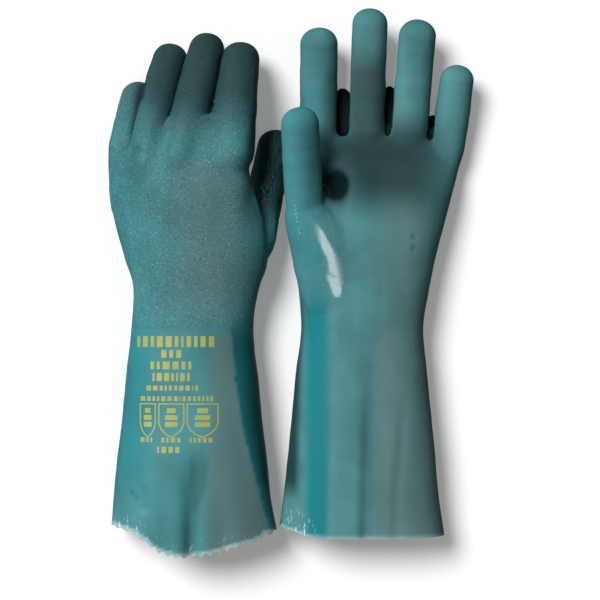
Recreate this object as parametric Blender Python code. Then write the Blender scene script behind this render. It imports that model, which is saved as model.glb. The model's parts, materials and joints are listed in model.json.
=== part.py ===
"""A pair of long coated gauntlet gloves on a table, one palm down and one palm up.

Metres, +Z up, +Y towards the fingertips, origin on the table under the middle of the pair.
Each glove is a rubber-like coat over a knitted liner. Both layers are cut where the glove folds,
at the wrist and at two places along each digit, so each stretch is a stiff shell on a hinge.
"""

import math
from typing import NamedTuple

import bpy
import numpy as np
from mathutils import Matrix, Vector

# Walls.
COAT_WALL = 0.0012
LINER_WALL = 0.0009
LAYER_GAP = 0.0003

# Folds: half the slit between two shells, and how far each fold turns, in degrees.
SLIT_HALF = 0.0006
PALM_DOWN_WRIST_RANGE = (-10.0, 25.0)
PALM_UP_WRIST_RANGE = (0.0, 25.0)
FINGER_BASE_RANGE = (-12.0, 40.0)
FINGER_TIP_RANGE = (-5.0, 45.0)
THUMB_BASE_RANGE = (-6.0, 20.0)
THUMB_TIP_RANGE = (-5.0, 35.0)

# Facets.
BODY_SIDES = 20
DIGIT_SIDES = 10
DOME_STEPS = (30.0, 60.0)
BODY_SQUARENESS = 2.4
FLOOR_SINK = 0.006
OVERRUN = 0.020
THINNEST_HALF = 0.0006
END_INSET_SHARE = 2.4

# Taper of a digit from its root to where its rounded tip starts.
ROOT_FULLNESS = 0.97
TIP_FULLNESS = 0.92

COAT_COLOUR = (0.055, 0.200, 0.205, 1.0)
GRIP_COLOUR = (0.045, 0.165, 0.170, 1.0)
LINER_COLOUR = (0.62, 0.60, 0.53, 1.0)


class Station(NamedTuple):
    """A cross-section of sleeve or palm: its place along the glove, sides, underside and top.

    lean is how much higher the right side stands than the left. trail is how far the left and
    right edges fall back behind the middle.
    """

    y: float
    left: float
    right: float
    low: float
    high: float
    lean: float = 0.0
    trail: tuple = (0.0, 0.0)


class Hem(NamedTuple):
    """The cut edge of the sleeve: how far its right side, top and underside run past its left side."""

    right: float
    top: float
    under: float


class Digit(NamedTuple):
    """A finger or thumb: a tube that starts inside the palm and curls towards the palm's side.

    heading is degrees from +Y towards +X, pitch degrees above the table, roll degrees that the
    palm side is turned towards +X, and folds the distances from the root to its two folds.
    """

    name: str
    root: tuple
    heading: float
    pitch: float
    curl: float
    length: float
    width: float
    depth: float
    folds: tuple
    roll: float = 0.0


class Glove(NamedTuple):
    """One glove: which way its palm faces, +1 up or -1 down, and its shape."""

    name: str
    palm: int
    sleeve: tuple
    hand: tuple
    hem: Hem
    digits: tuple


PALM_DOWN = Glove(
    name="palmdown",
    palm=-1,
    sleeve=(
        Station(-0.1700, -0.1405, -0.0172, 0.000, 0.060),
        Station(-0.1500, -0.1392, -0.0226, 0.000, 0.060),
        Station(-0.1125, -0.1369, -0.0266, 0.000, 0.059),
        Station(-0.0750, -0.1324, -0.0311, 0.000, 0.057),
        Station(-0.0210, -0.1265, -0.0345, 0.000, 0.055),
    ),
    hand=(
        Station(-0.0210, -0.1265, -0.0345, 0.000, 0.055),
        Station(0.0075, -0.1245, -0.0304, 0.002, 0.056),
        Station(0.0300, -0.1290, -0.0240, 0.007, 0.060, 0.002),
        Station(0.0560, -0.1360, -0.0270, 0.015, 0.065, 0.004),
        Station(0.0750, -0.1405, -0.0330, 0.022, 0.069, 0.007),
        Station(0.0975, -0.1440, -0.0380, 0.032, 0.073, 0.009, (0.006, 0.000)),
        Station(0.1180, -0.1435, -0.0375, 0.044, 0.074, 0.010, (0.016, 0.000)),
        Station(0.1380, -0.1400, -0.0440, 0.054, 0.070, 0.010, (0.030, 0.002)),
    ),
    hem=Hem(right=-0.006, top=-0.0160, under=-0.004),
    digits=(
        Digit("index", (-0.0500, 0.104, 0.062), 3.5, 4.0, 72.0, 0.106, 0.0275, 0.026, (0.047, 0.075)),
        Digit("middle", (-0.0868, 0.102, 0.060), 10.0, 3.0, 66.0, 0.117, 0.0265, 0.026, (0.048, 0.079)),
        Digit("ring", (-0.1150, 0.095, 0.055), 10.5, 1.0, 58.0, 0.109, 0.0265, 0.025, (0.048, 0.075)),
        Digit("little", (-0.1348, 0.078, 0.043), 5.0, 0.0, 46.0, 0.092, 0.0245, 0.023, (0.050, 0.068)),
        Digit("thumb", (-0.0330, 0.040, 0.029), 9.8, -10.0, 6.0, 0.090, 0.0300, 0.026, (0.040, 0.064), -35.0),
    ),
)

PALM_UP = Glove(
    name="palmup",
    palm=1,
    sleeve=(
        Station(-0.1700, -0.0158, 0.1060, 0.000, 0.060),
        Station(-0.1500, -0.0128, 0.1030, 0.000, 0.060),
        Station(-0.1125, -0.0079, 0.1000, 0.000, 0.059),
        Station(-0.0750, -0.0026, 0.0956, 0.000, 0.057),
        Station(-0.0210, 0.0007, 0.0915, 0.000, 0.055),
    ),
    hand=(
        Station(-0.0210, 0.0007, 0.0915, 0.000, 0.055),
        Station(0.0075, -0.0010, 0.0953, 0.000, 0.055),
        Station(0.0300, -0.0055, 0.0998, 0.000, 0.055),
        Station(0.0525, -0.0050, 0.1058, 0.000, 0.052),
        Station(0.0750, -0.0025, 0.1118, 0.000, 0.049),
        Station(0.0975, -0.0010, 0.1178, 0.000, 0.044, 0.0, (0.000, 0.004)),
        Station(0.1180, 0.0000, 0.1215, 0.000, 0.032, 0.0, (0.000, 0.010)),
        Station(0.1380, 0.0035, 0.1175, 0.004, 0.020, 0.0, (0.002, 0.016)),
    ),
    hem=Hem(right=-0.007, top=0.001, under=-0.002),
    digits=(
        Digit("index", (0.0135, 0.105, 0.018), 0.4, 2.0, 16.0, 0.099, 0.0285, 0.025, (0.0605, 0.0805)),
        Digit("middle", (0.0490, 0.105, 0.018), 1.4, 2.0, 16.0, 0.116, 0.0262, 0.025, (0.0625, 0.0865)),
        Digit("ring", (0.0793, 0.105, 0.018), 4.6, 2.0, 16.0, 0.107, 0.0280, 0.025, (0.0625, 0.0840)),
        Digit("little", (0.1080, 0.095, 0.017), 6.5, 2.0, 16.0, 0.082, 0.0262, 0.024, (0.0490, 0.0665)),
        Digit("thumb", (0.0080, 0.040, 0.036), -9.0, 15.0, 14.0, 0.105, 0.0305, 0.027, (0.0480, 0.0760), 35.0),
    ),
)


def superellipse(half_width, half_height, angle):
    """A point of a rounded box outline, as its sideways and upward offset from the middle."""
    power = 2.0 / BODY_SQUARENESS
    across = math.copysign(abs(math.cos(angle)) ** power, math.cos(angle)) * half_width
    up = math.copysign(abs(math.sin(angle)) ** power, math.sin(angle)) * half_height
    return across, up


def body_ring(station, inset):
    """The outline of sleeve or palm at a station, moved in by inset, flat where it meets the table."""
    middle = (station.left + station.right) / 2
    half_width = (station.right - station.left) / 2
    sink = FLOOR_SINK if station.low == 0.0 else 0.0
    centre = (station.high + station.low - sink) / 2
    half_height = (station.high - station.low + sink) / 2
    inner_height = max(half_height - inset, THINNEST_HALF)
    points = []
    for side in range(BODY_SIDES):
        angle = math.tau * (side + 0.5) / BODY_SIDES
        across, up = superellipse(half_width - inset, inner_height, angle)
        share = across / half_width
        trail = station.trail[0] if share < 0 else station.trail[1]
        height = max(centre + up, station.low + inset) if sink else centre + up
        points.append((middle + across, station.y - trail * share**2, height + station.lean * share))
    return points


def hem_ring(station, hem, inset):
    """The sleeve's first outline, slanted as its cut edge is."""
    middle = (station.left + station.right) / 2
    half_width = (station.right - station.left) / 2
    waist = (station.high + station.low) / 2
    half_height = (station.high - station.low) / 2
    ring = []
    for x, y, z in body_ring(station, inset):
        rise = (z - waist) / half_height
        sideways = hem.right * (x - middle) / half_width / 2
        ring.append((x, y + sideways + (hem.top * rise if rise > 0 else -hem.under * rise), z))
    return ring


def wrist_ring(station, inset, side, overrun=0.0):
    """The outline beside the wrist fold, cut back above and below the hinge. side is +1 for the hand."""
    pivot = (station.high + station.low) / 2
    slope = math.tan(math.radians(PALM_DOWN_WRIST_RANGE[1]) / 2)
    ring = []
    for x, y, z in body_ring(station, inset):
        back = SLIT_HALF + abs(z - pivot) * slope
        ring.append((x, y + side * (back - overrun), z))
    return ring


def digit_frame(digit, palm):
    """The digit's starting direction, the direction its palm side faces, and its fold axis."""
    heading, pitch = math.radians(digit.heading), math.radians(digit.pitch)
    along = Vector(
        (math.sin(heading) * math.cos(pitch), math.cos(heading) * math.cos(pitch), math.sin(pitch))
    )
    facing = Vector((0.0, 0.0, palm))
    facing = (facing - along * facing.dot(along)).normalized()
    facing.rotate(Matrix.Rotation(math.radians(digit.roll), 3, along))
    return along, facing, along.cross(facing)


def digit_point(digit, palm, distance):
    """The digit's middle line at a distance from its root: point, direction, and palm side."""
    along, facing, _ = digit_frame(digit, palm)
    curl = math.radians(digit.curl)
    angle = curl * distance / digit.length
    radius = digit.length / curl
    point = Vector(digit.root) + radius * (math.sin(angle) * along + (1 - math.cos(angle)) * facing)
    direction = math.cos(angle) * along + math.sin(angle) * facing
    palm_side = math.cos(angle) * facing - math.sin(angle) * along
    return point, direction, palm_side


def digit_ring(digit, palm, distance, inset, size=1.0):
    """The digit's outline at a distance from its root. size shrinks it, for the rounded tip."""
    point, _, palm_side = digit_point(digit, palm, distance)
    axis = digit_frame(digit, palm)[2]
    share = distance / (digit.length - digit.depth / 2)
    fullness = ROOT_FULLNESS + (TIP_FULLNESS - ROOT_FULLNESS) * min(max(share, 0.0), 1.0)
    half_width = (digit.width / 2 * fullness - inset) * size
    half_depth = (digit.depth / 2 * fullness - inset) * size
    ring = []
    for side in range(DIGIT_SIDES):
        angle = math.tau * (side + 0.5) / DIGIT_SIDES
        ring.append(point + axis * (half_width * math.cos(angle)) + palm_side * (half_depth * math.sin(angle)))
    return ring


def fold_ring(digit, palm, fold, fold_range, inset, side, overrun=0.0):
    """The outline beside a fold, cut back so that the fold can turn. side is +1 beyond the fold."""
    point, direction, palm_side = digit_point(digit, palm, fold)
    bend_slope = math.tan(math.radians(fold_range[1]) / 2)
    straighten_slope = math.tan(math.radians(-fold_range[0]) / 2)
    ring = []
    for corner in digit_ring(digit, palm, fold, inset):
        towards_palm = (corner - point).dot(palm_side)
        slope = bend_slope if towards_palm > 0 else straighten_slope
        back = SLIT_HALF + abs(towards_palm) * slope
        ring.append(corner + direction * side * (back - overrun))
    return ring


def fold_ranges(digit):
    """How far the digit's two folds turn."""
    if digit.name == "thumb":
        return THUMB_BASE_RANGE, THUMB_TIP_RANGE
    return FINGER_BASE_RANGE, FINGER_TIP_RANGE


def middle_of(ring):
    """The mean of a ring's points."""
    return sum((Vector(point) for point in ring), Vector()) / len(ring)


def skin(rings, first, last):
    """Faces that join rings in a row. first and last say what ends them: a number is a cap's middle."""
    sides = len(rings[0])
    faces = []
    for level in range(len(rings) - 1):
        for side in range(sides):
            following = (side + 1) % sides
            low, high = level * sides, (level + 1) * sides
            faces.append((low + side, low + following, high + following))
            faces.append((low + side, high + following, high + side))
    for side in range(sides):
        following = (side + 1) % sides
        if first is not None:
            faces.append((first, following, side))
        if last is not None:
            top = (len(rings) - 1) * sides
            faces.append((last, top + side, top + following))
    return faces


def mesh_object(name, points, faces):
    """An object of these points and faces, with its faces turned outwards."""
    mesh = bpy.data.meshes.new(name)
    mesh.from_pydata([tuple(point) for point in points], [], faces)
    corners = np.array([tuple(point) for point in points])
    volume = 0.0
    for face in faces:
        fan = corners[list(face)]
        for second, third in zip(fan[1:-1], fan[2:]):
            volume += float(np.dot(fan[0], np.cross(second, third)))
    if volume < 0:
        mesh.flip_normals()
    thing = bpy.data.objects.new(name, mesh)
    bpy.context.scene.collection.objects.link(thing)
    return thing


def solid_of_rings(name, rings, tip=None):
    """A closed solid through the rings, with a fan at each end. tip is the last fan's middle."""
    points = [point for ring in rings for point in ring]
    points += [middle_of(rings[0]), middle_of(rings[-1]) if tip is None else tip]
    return mesh_object(name, points, skin(rings, len(points) - 2, len(points) - 1))


def shell_of_rings(name, outer, inner, tips=None):
    """A tube's wall between two sets of rings. tips are the outer and inner points of a closed end."""
    sides = len(outer[0])
    outer_points = [point for ring in outer for point in ring]
    inner_points = [point for ring in inner for point in ring]
    count = len(outer_points)
    points = outer_points + inner_points
    faces = skin(outer, None, None if tips is None else count + len(inner_points))
    inner_tip = None if tips is None else len(inner_points) + 1
    faces += [tuple(count + corner for corner in reversed(face)) for face in skin(inner, None, inner_tip)]
    points += [] if tips is None else list(tips)
    ends = [(0, count)]
    if tips is None:
        ends.append((count - sides, count + len(inner_points) - sides))
    for order, (outer_start, inner_start) in enumerate(ends):
        for side in range(sides):
            following = (side + 1) % sides
            face = (outer_start + following, outer_start + side, inner_start + side, inner_start + following)
            faces.append(face if order == 0 else face[::-1])
    return mesh_object(name, points, faces)


def combine(target, others, operation):
    """Joins the others to the target, or cuts them from it, and removes them."""
    for other in others:
        modifier = target.modifiers.new(other.name, "BOOLEAN")
        modifier.operation = operation
        modifier.solver = "EXACT"
        modifier.object = other
    bpy.context.view_layer.update()
    evaluated = target.evaluated_get(bpy.context.evaluated_depsgraph_get())
    mesh = bpy.data.meshes.new_from_object(evaluated)
    target.modifiers.clear()
    target.data = mesh
    for other in others:
        bpy.data.objects.remove(other)
    return target


def sleeve_layer(glove, name, outer_inset, wall):
    """The sleeve's coat or liner, open at the hem and at the wrist fold."""
    layers = []
    for inset in (outer_inset, outer_inset + wall):
        rings = [hem_ring(glove.sleeve[0], glove.hem, inset)]
        rings += [body_ring(station, inset) for station in glove.sleeve[1:-1]]
        rings.append(wrist_ring(glove.sleeve[-1], inset, -1))
        layers.append(rings)
    return shell_of_rings(name, *layers)


def hand_solid(glove, name, inset, overrun):
    """The palm with the root of each digit, as one solid. overrun lengthens its open ends, for a cavity."""
    rings = [wrist_ring(glove.hand[0], inset, 1)]
    if overrun:
        rings.insert(0, wrist_ring(glove.hand[0], inset, 1, overrun))
    rings += [body_ring(station, inset) for station in glove.hand[1:-1]]
    end = glove.hand[-1]
    rings.append(body_ring(end._replace(y=end.y - END_INSET_SHARE * inset), inset))
    palm = solid_of_rings(name, rings)
    roots = []
    for digit in glove.digits:
        base_range = fold_ranges(digit)[0]
        tube = [digit_ring(digit, glove.palm, inset, inset)]
        tube.append(fold_ring(digit, glove.palm, digit.folds[0], base_range, inset, -1))
        if overrun:
            tube.append(fold_ring(digit, glove.palm, digit.folds[0], base_range, inset, -1, overrun))
        roots.append(solid_of_rings(f"{name}_{digit.name}", tube))
    return combine(palm, roots, "UNION")


def hand_layer(glove, name, outer_inset, wall):
    """The hand's coat or liner, open at the wrist and at each digit."""
    outer = hand_solid(glove, name, outer_inset, 0.0)
    cavity = hand_solid(glove, f"{name}_cavity", outer_inset + wall, OVERRUN)
    return combine(outer, [cavity], "DIFFERENCE")


def digit_base_layer(glove, digit, name, outer_inset, wall):
    """The stretch of a digit between its two folds, open at both ends."""
    base_range, tip_range = fold_ranges(digit)
    layers = []
    for inset in (outer_inset, outer_inset + wall):
        layers.append(
            [
                fold_ring(digit, glove.palm, digit.folds[0], base_range, inset, 1),
                fold_ring(digit, glove.palm, digit.folds[1], tip_range, inset, -1),
            ]
        )
    return shell_of_rings(name, *layers)


def digit_tip_layer(glove, digit, name, outer_inset, wall):
    """The stretch of a digit beyond its second fold, with its rounded end."""
    tip_range = fold_ranges(digit)[1]
    dome = digit.length - digit.depth / 2
    layers, tips = [], []
    for inset in (outer_inset, outer_inset + wall):
        rise = digit.depth / 2 - inset
        rings = [fold_ring(digit, glove.palm, digit.folds[1], tip_range, inset, 1)]
        rings.append(digit_ring(digit, glove.palm, dome, inset))
        for step in DOME_STEPS:
            angle = math.radians(step)
            distance = dome + rise * math.sin(angle)
            rings.append(digit_ring(digit, glove.palm, distance, inset, math.cos(angle)))
        layers.append(rings)
        tips.append(digit_point(digit, glove.palm, digit.length - inset)[0])
    return shell_of_rings(name, *layers, tips=tips)


def finish(thing, hinge, colour):
    """Hangs a shell on its hinge and gives it a plain material of its own."""
    bpy.context.view_layer.update()
    thing.data.transform(hinge.matrix_world.inverted())
    thing.parent = hinge
    material = bpy.data.materials.new(thing.name)
    material.use_nodes = True
    shader = material.node_tree.nodes["Principled BSDF"]
    shader.inputs["Base Color"].default_value = colour
    shader.inputs["Roughness"].default_value = 0.9 if colour == LINER_COLOUR else 0.5
    shader.inputs["Metallic"].default_value = 0.0
    thing.data.materials.append(material)
    thing.data.shade_smooth()
    thing.data.set_sharp_from_angle(angle=math.radians(50))


def hinge_at(name, place, parent):
    """An empty on a fold's axis, which the shells beyond the fold hang from."""
    hinge = bpy.data.objects.new(name, None)
    bpy.context.scene.collection.objects.link(hinge)
    hinge.parent = parent
    bpy.context.view_layer.update()
    start = parent.matrix_world.translation if parent else Vector()
    hinge.location = Vector(place) - start
    bpy.context.view_layer.update()
    return hinge


def layers_of(coat_colour):
    """The glove's two layers: name, how far in each starts, its wall, and its colour."""
    return (
        ("coat", 0.0, COAT_WALL, coat_colour),
        ("liner", COAT_WALL + LAYER_GAP, LINER_WALL, LINER_COLOUR),
    )


def build_glove(glove, top):
    """All the shells of one glove, on their hinges."""
    wrist = glove.hand[0]
    wrist_place = ((wrist.left + wrist.right) / 2, wrist.y, (wrist.high + wrist.low) / 2)
    hand_hinge = hinge_at(f"{glove.name}_wrist_hinge", wrist_place, top)
    for layer, inset, wall, colour in layers_of(COAT_COLOUR):
        finish(sleeve_layer(glove, f"{glove.name}_sleeve_{layer}", inset, wall), top, colour)
    for layer, inset, wall, colour in layers_of(GRIP_COLOUR):
        finish(hand_layer(glove, f"{glove.name}_hand_{layer}", inset, wall), hand_hinge, colour)
    for digit in glove.digits:
        label = f"{glove.name}_{digit.name}"
        base_place, tip_place = (digit_point(digit, glove.palm, fold)[0] for fold in digit.folds)
        base_hinge = hinge_at(f"{label}_base_hinge", base_place, hand_hinge)
        tip_hinge = hinge_at(f"{label}_tip_hinge", tip_place, base_hinge)
        for layer, inset, wall, colour in layers_of(GRIP_COLOUR):
            base = digit_base_layer(glove, digit, f"{label}_base_{layer}", inset, wall)
            finish(base, base_hinge, colour)
            tip = digit_tip_layer(glove, digit, f"{label}_tip_{layer}", inset, wall)
            finish(tip, tip_hinge, colour)


def centre_on_table(top):
    """Moves the pair so that the origin lies under the middle of its box, on the table."""
    bpy.context.view_layer.update()
    corners = np.array(
        [
            thing.matrix_world @ vertex.co
            for thing in bpy.data.objects
            if thing.type == "MESH"
            for vertex in thing.data.vertices
        ]
    )
    low, high = corners.min(axis=0), corners.max(axis=0)
    top.location = (-(low[0] + high[0]) / 2, -(low[1] + high[1]) / 2, -low[2])


def main():
    """Builds the pair."""
    for thing in list(bpy.data.objects):
        bpy.data.objects.remove(thing)
    pair = hinge_at("pair", (0.0, 0.0, 0.0), None)
    for glove in (PALM_DOWN, PALM_UP):
        build_glove(glove, pair)
    centre_on_table(pair)


main()
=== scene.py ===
"""Looks of a pair of long coated gauntlet gloves, one palm down and one palm up.

Every glove is a dipped skin over a knitted liner. The skin is shaped whole, and then parted at the wrist
and along each digit into pieces; the sleeve's pieces are attached to the sleeve's body.
"""

from __future__ import annotations

import json
import logging
import math
from dataclasses import dataclass
from enum import Enum
from typing import Iterable, Sequence

import bmesh
import bpy
import numpy as np
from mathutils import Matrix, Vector, noise
from mathutils.bvhtree import BVHTree
from mathutils.kdtree import KDTree

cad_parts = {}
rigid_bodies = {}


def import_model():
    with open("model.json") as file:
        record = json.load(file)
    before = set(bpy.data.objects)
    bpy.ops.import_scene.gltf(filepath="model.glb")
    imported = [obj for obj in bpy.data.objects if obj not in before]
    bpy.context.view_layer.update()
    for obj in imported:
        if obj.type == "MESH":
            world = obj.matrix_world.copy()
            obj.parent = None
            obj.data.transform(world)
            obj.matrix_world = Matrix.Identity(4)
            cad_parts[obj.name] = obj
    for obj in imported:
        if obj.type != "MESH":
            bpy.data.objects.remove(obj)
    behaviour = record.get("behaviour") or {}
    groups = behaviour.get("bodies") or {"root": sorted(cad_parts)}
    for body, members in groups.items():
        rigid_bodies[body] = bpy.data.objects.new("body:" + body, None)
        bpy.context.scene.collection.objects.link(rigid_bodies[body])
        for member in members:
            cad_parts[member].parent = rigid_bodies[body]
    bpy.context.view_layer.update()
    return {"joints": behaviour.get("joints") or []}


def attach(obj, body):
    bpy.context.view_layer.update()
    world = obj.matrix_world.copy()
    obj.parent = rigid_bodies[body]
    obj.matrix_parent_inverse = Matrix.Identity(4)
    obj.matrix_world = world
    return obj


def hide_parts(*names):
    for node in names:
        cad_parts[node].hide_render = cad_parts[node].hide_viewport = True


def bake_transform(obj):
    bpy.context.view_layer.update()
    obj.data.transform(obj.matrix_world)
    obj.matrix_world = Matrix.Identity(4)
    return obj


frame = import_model()

LOG = logging.getLogger("gloves")
COAT_WALL = 0.0011
LINER_START = 0.0014
LINER_WALL = 0.0009
VOXEL = 0.0020

Array = np.ndarray
Colour = tuple[float, float, float]


# ---------------------------------------------------------------------------------------------
# Shader building
# ---------------------------------------------------------------------------------------------


class Value:
    """A number that varies over a surface, with arithmetic that adds Math nodes."""

    def __init__(self, painter: "Painter", socket: bpy.types.NodeSocket) -> None:
        """Wraps a socket of the painter's material."""
        self.painter = painter
        self.socket = socket

    def _math(self, operation: str, *terms: object, clamp: bool = False) -> "Value":
        """Adds one Math node over the terms."""
        settings = {"operation": operation, "use_clamp": clamp}
        made = self.painter.node("ShaderNodeMath", settings, dict(enumerate(terms)))
        return Value(self.painter, made.outputs[0])

    def __add__(self, other: object) -> "Value":
        """Sum."""
        return self._math("ADD", self, other)

    def __radd__(self, other: object) -> "Value":
        """Sum, reflected."""
        return self._math("ADD", other, self)

    def __sub__(self, other: object) -> "Value":
        """Difference."""
        return self._math("SUBTRACT", self, other)

    def __rsub__(self, other: object) -> "Value":
        """Difference, reflected."""
        return self._math("SUBTRACT", other, self)

    def __mul__(self, other: object) -> "Value":
        """Product."""
        return self._math("MULTIPLY", self, other)

    def __rmul__(self, other: object) -> "Value":
        """Product, reflected."""
        return self._math("MULTIPLY", other, self)

    def power(self, exponent: float) -> "Value":
        """The value raised to an exponent."""
        return self._math("POWER", self, exponent)

    def clamped(self) -> "Value":
        """The value held between 0 and 1."""
        return self._math("MULTIPLY", self, 1.0, clamp=True)

    def ramp(self, low: float, high: float) -> "Value":
        """0 below low, 1 above high and smooth between them."""
        settings = {"interpolation_type": "SMOOTHSTEP"}
        sockets = {"Value": self, "From Min": low, "From Max": high, "To Min": 0.0, "To Max": 1.0}
        made = self.painter.node("ShaderNodeMapRange", settings, sockets)
        return Value(self.painter, made.outputs["Result"])


class Painter:
    """Builds the node tree of one material."""

    def __init__(self, name: str) -> None:
        """Starts a material that holds a plain Principled shader."""
        self.material = bpy.data.materials.new(name)
        self.material.use_nodes = True
        self.tree = self.material.node_tree
        self.shader = self.tree.nodes["Principled BSDF"]

    def node(self, kind: str, settings: dict | None = None, sockets: dict | None = None) -> bpy.types.Node:
        """Adds a node.

        Args:
            kind: the node's type.
            settings: properties that are set first.
            sockets: input values or links, by name or index.

        Returns:
            The new node.
        """
        made = self.tree.nodes.new(kind)
        for key, value in (settings or {}).items():
            setattr(made, key, value)
        for key, value in (sockets or {}).items():
            self._feed(made.inputs[key], value)
        return made

    def _feed(self, socket: bpy.types.NodeSocket, value: object) -> None:
        """Links a socket to a value or socket, or sets it."""
        if isinstance(value, Value):
            value = value.socket
        if isinstance(value, bpy.types.NodeSocket):
            self.tree.links.new(value, socket)
        elif isinstance(value, tuple) and len(value) == 3 and socket.type == "RGBA":
            socket.default_value = (*value, 1.0)
        else:
            socket.default_value = value

    def place(self, stretch: Colour = (1.0, 1.0, 1.0)) -> bpy.types.NodeSocket:
        """The resting place of a surface point, in metres, stretched along each axis."""
        rest = self.node("ShaderNodeAttribute", {"attribute_name": "rest"}).outputs["Vector"]
        if stretch == (1.0, 1.0, 1.0):
            return rest
        return self.node("ShaderNodeVectorMath", {"operation": "MULTIPLY"}, {0: rest, 1: stretch}).outputs[0]

    def mask(self, name: str) -> Value:
        """A number that the mesh carries at its points."""
        return Value(self, self.node("ShaderNodeAttribute", {"attribute_name": name}).outputs["Fac"])

    def noise(
        self, scale: float, detail: float = 2.0, roughness: float = 0.5, stretch: Colour = (1.0, 1.0, 1.0)
    ) -> Value:
        """Cloudy noise, from 0 to 1, at the resting place."""
        sockets = {"Vector": self.place(stretch), "Scale": scale, "Detail": detail, "Roughness": roughness}
        return Value(self, self.node("ShaderNodeTexNoise", None, sockets).outputs["Fac"])

    def cells(self, scale: float) -> Value:
        """Distance to the middle of the nearest cell, at the resting place."""
        sockets = {"Vector": self.place(), "Scale": scale}
        return Value(self, self.node("ShaderNodeTexVoronoi", {"feature": "F1"}, sockets).outputs["Distance"])

    def mix(self, share: object, first: object, second: object) -> bpy.types.NodeSocket:
        """A colour between two, by a share."""
        made = self.node("ShaderNodeMix", {"data_type": "RGBA"}, {0: share, 6: first, 7: second})
        return made.outputs[2]

    def bump(self, height: Value, distance: float, strength: float = 1.0) -> bpy.types.NodeSocket:
        """A normal raised by a height."""
        sockets = {"Height": height, "Distance": distance, "Strength": strength}
        return self.node("ShaderNodeBump", None, sockets).outputs["Normal"]

    def finish(self, sockets: dict) -> bpy.types.Material:
        """Feeds the shader's sockets and returns the material."""
        for key, value in sockets.items():
            self._feed(self.shader.inputs[key], value)
        return self.material


@dataclass(frozen=True)
class CoatFinish:
    """The dipped skin: satin on the sleeve, and sanded where the grip mask says.

    Attributes:
        lit, deep: the skin's lighter and darker colours.
        grey: a greyer, duller tone, painted where light and shade make the skin look grey.
        dark, pale, teal: the near-black painted as shade in creases, hollows and the grip's pits; the
        colour of scuffs and cut edges, also painted as glints on the grip; a saturated teal painted as
        light and shade.
        grit: how strongly the sanded part stands out.
        roughness, reflection: of the smooth skin.
    """

    name: str
    lit: Colour = (0.054, 0.225, 0.243)
    deep: Colour = (0.035, 0.156, 0.170)
    grey: Colour = (0.104, 0.158, 0.152)
    dark: Colour = (0.003, 0.012, 0.013)
    teal: Colour = (0.012, 0.205, 0.235)
    pale: Colour = (0.560, 0.690, 0.680)
    grit: float = 1.0
    roughness: float = 0.40
    reflection: float = 0.22

    def build(self) -> bpy.types.Material:
        """Makes the material."""
        p = Painter(self.name)
        clouds = p.noise(22.0, 3.0, 0.55)
        streaks = p.noise(60.0, 2.0, 0.5, (1.0, 0.09, 1.0))
        tone = (clouds * 0.65 + streaks * 0.35).ramp(0.34, 0.66)
        colour = p.mix(tone, self.deep, self.lit)
        dust = p.mask("dust")
        # painted light and shade: the teal mask paints a more saturated teal on lit and shaded bands
        colour = p.mix((p.mask("teal") * (0.7 + streaks * 0.5)).clamped(), colour, self.teal)
        # painted light and shade: the dust mask paints a greyer, duller tone
        colour = p.mix((dust * (0.55 + streaks * 0.5)).clamped(), colour, self.grey)
        speck = p.cells(820.0)
        grip = p.mask("grip")
        grain = p.noise(650.0, 3.0, 0.6)
        # painted glints and shade on the sanded grip: pale flecks on its grains and near-black in its pits
        flecks = (1 - speck).ramp(0.60, 0.88) * grain.ramp(0.47, 0.62)
        colour = p.mix((flecks * grip * (0.36 * self.grit)).clamped(), colour, self.pale)
        pits = (1 - grain).ramp(0.50, 0.72)
        colour = p.mix((pits * grip * (0.40 * self.grit)).clamped(), colour, self.dark)
        # painted shade: the fold mask paints near-black into creases, hollows, webs, gaps and shaded sides
        colour = p.mix(p.mask("fold").clamped(), colour, self.dark)
        scuffs = p.noise(420.0, 4.0, 0.7, (1.0, 0.35, 1.0)).ramp(0.56, 0.66)
        wear = (p.mask("wear") * scuffs).clamped()
        colour = p.mix(wear, colour, self.pale)
        colour = p.mix((p.mask("edge") * 0.75).clamped(), colour, self.pale)
        crinkle = p.noise(330.0, 3.0, 0.6, (1.0, 1.9, 1.0))
        skin = p.noise(130.0, 2.0, 0.5)
        sanded = grain * 0.6 + speck * 0.5
        height = skin * 0.25 + grip * sanded * self.grit * 0.55 + p.mask("crinkle") * crinkle * 1.3
        roughness = self.roughness + tone * 0.07 + grip * (0.16 * self.grit) + dust * 0.06 + wear * 0.2
        roughness = roughness - p.mask("gloss") * 0.14
        return p.finish(
            {
                "Base Color": colour,
                "Roughness": roughness.clamped(),
                "Normal": p.bump(height, 0.0006),
                "IOR": 1.48,
                "Specular IOR Level": self.reflection,
                "Coat Weight": (p.mask("gloss") * 1.6).clamped(),
                "Coat Roughness": 0.14,
            }
        )


@dataclass(frozen=True)
class KnitFinish:
    """The undyed cotton knit of the liner, with its ribs and stitches."""

    name: str
    light: Colour = (0.74, 0.72, 0.64)
    shade: Colour = (0.42, 0.41, 0.36)

    def build(self) -> bpy.types.Material:
        """Makes the material."""
        p = Painter(self.name)
        settings = {"wave_type": "BANDS", "bands_direction": "X", "wave_profile": "SIN"}
        ribs = {"Vector": p.place(), "Scale": 130.0, "Distortion": 0.6, "Detail": 1.0}
        courses = {"Vector": p.place(), "Scale": 150.0, "Distortion": 1.2, "Detail": 1.0}
        rib = Value(p, p.node("ShaderNodeTexWave", settings, ribs).outputs["Fac"])
        across = {**settings, "bands_direction": "Y"}
        course = Value(p, p.node("ShaderNodeTexWave", across, courses).outputs["Fac"])
        fluff = p.noise(900.0, 3.0, 0.6)
        loops = rib * 0.55 + course * 0.45
        colour = p.mix((loops * 0.7 + fluff * 0.35).ramp(0.15, 0.85), self.shade, self.light)
        return p.finish(
            {
                "Base Color": colour,
                "Roughness": (0.88 + fluff * 0.1).clamped(),
                "Normal": p.bump(loops * 0.8 + fluff * 0.3, 0.0007),
                "Sheen Weight": 0.3,
                "Sheen Roughness": 0.5,
            }
        )


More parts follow.
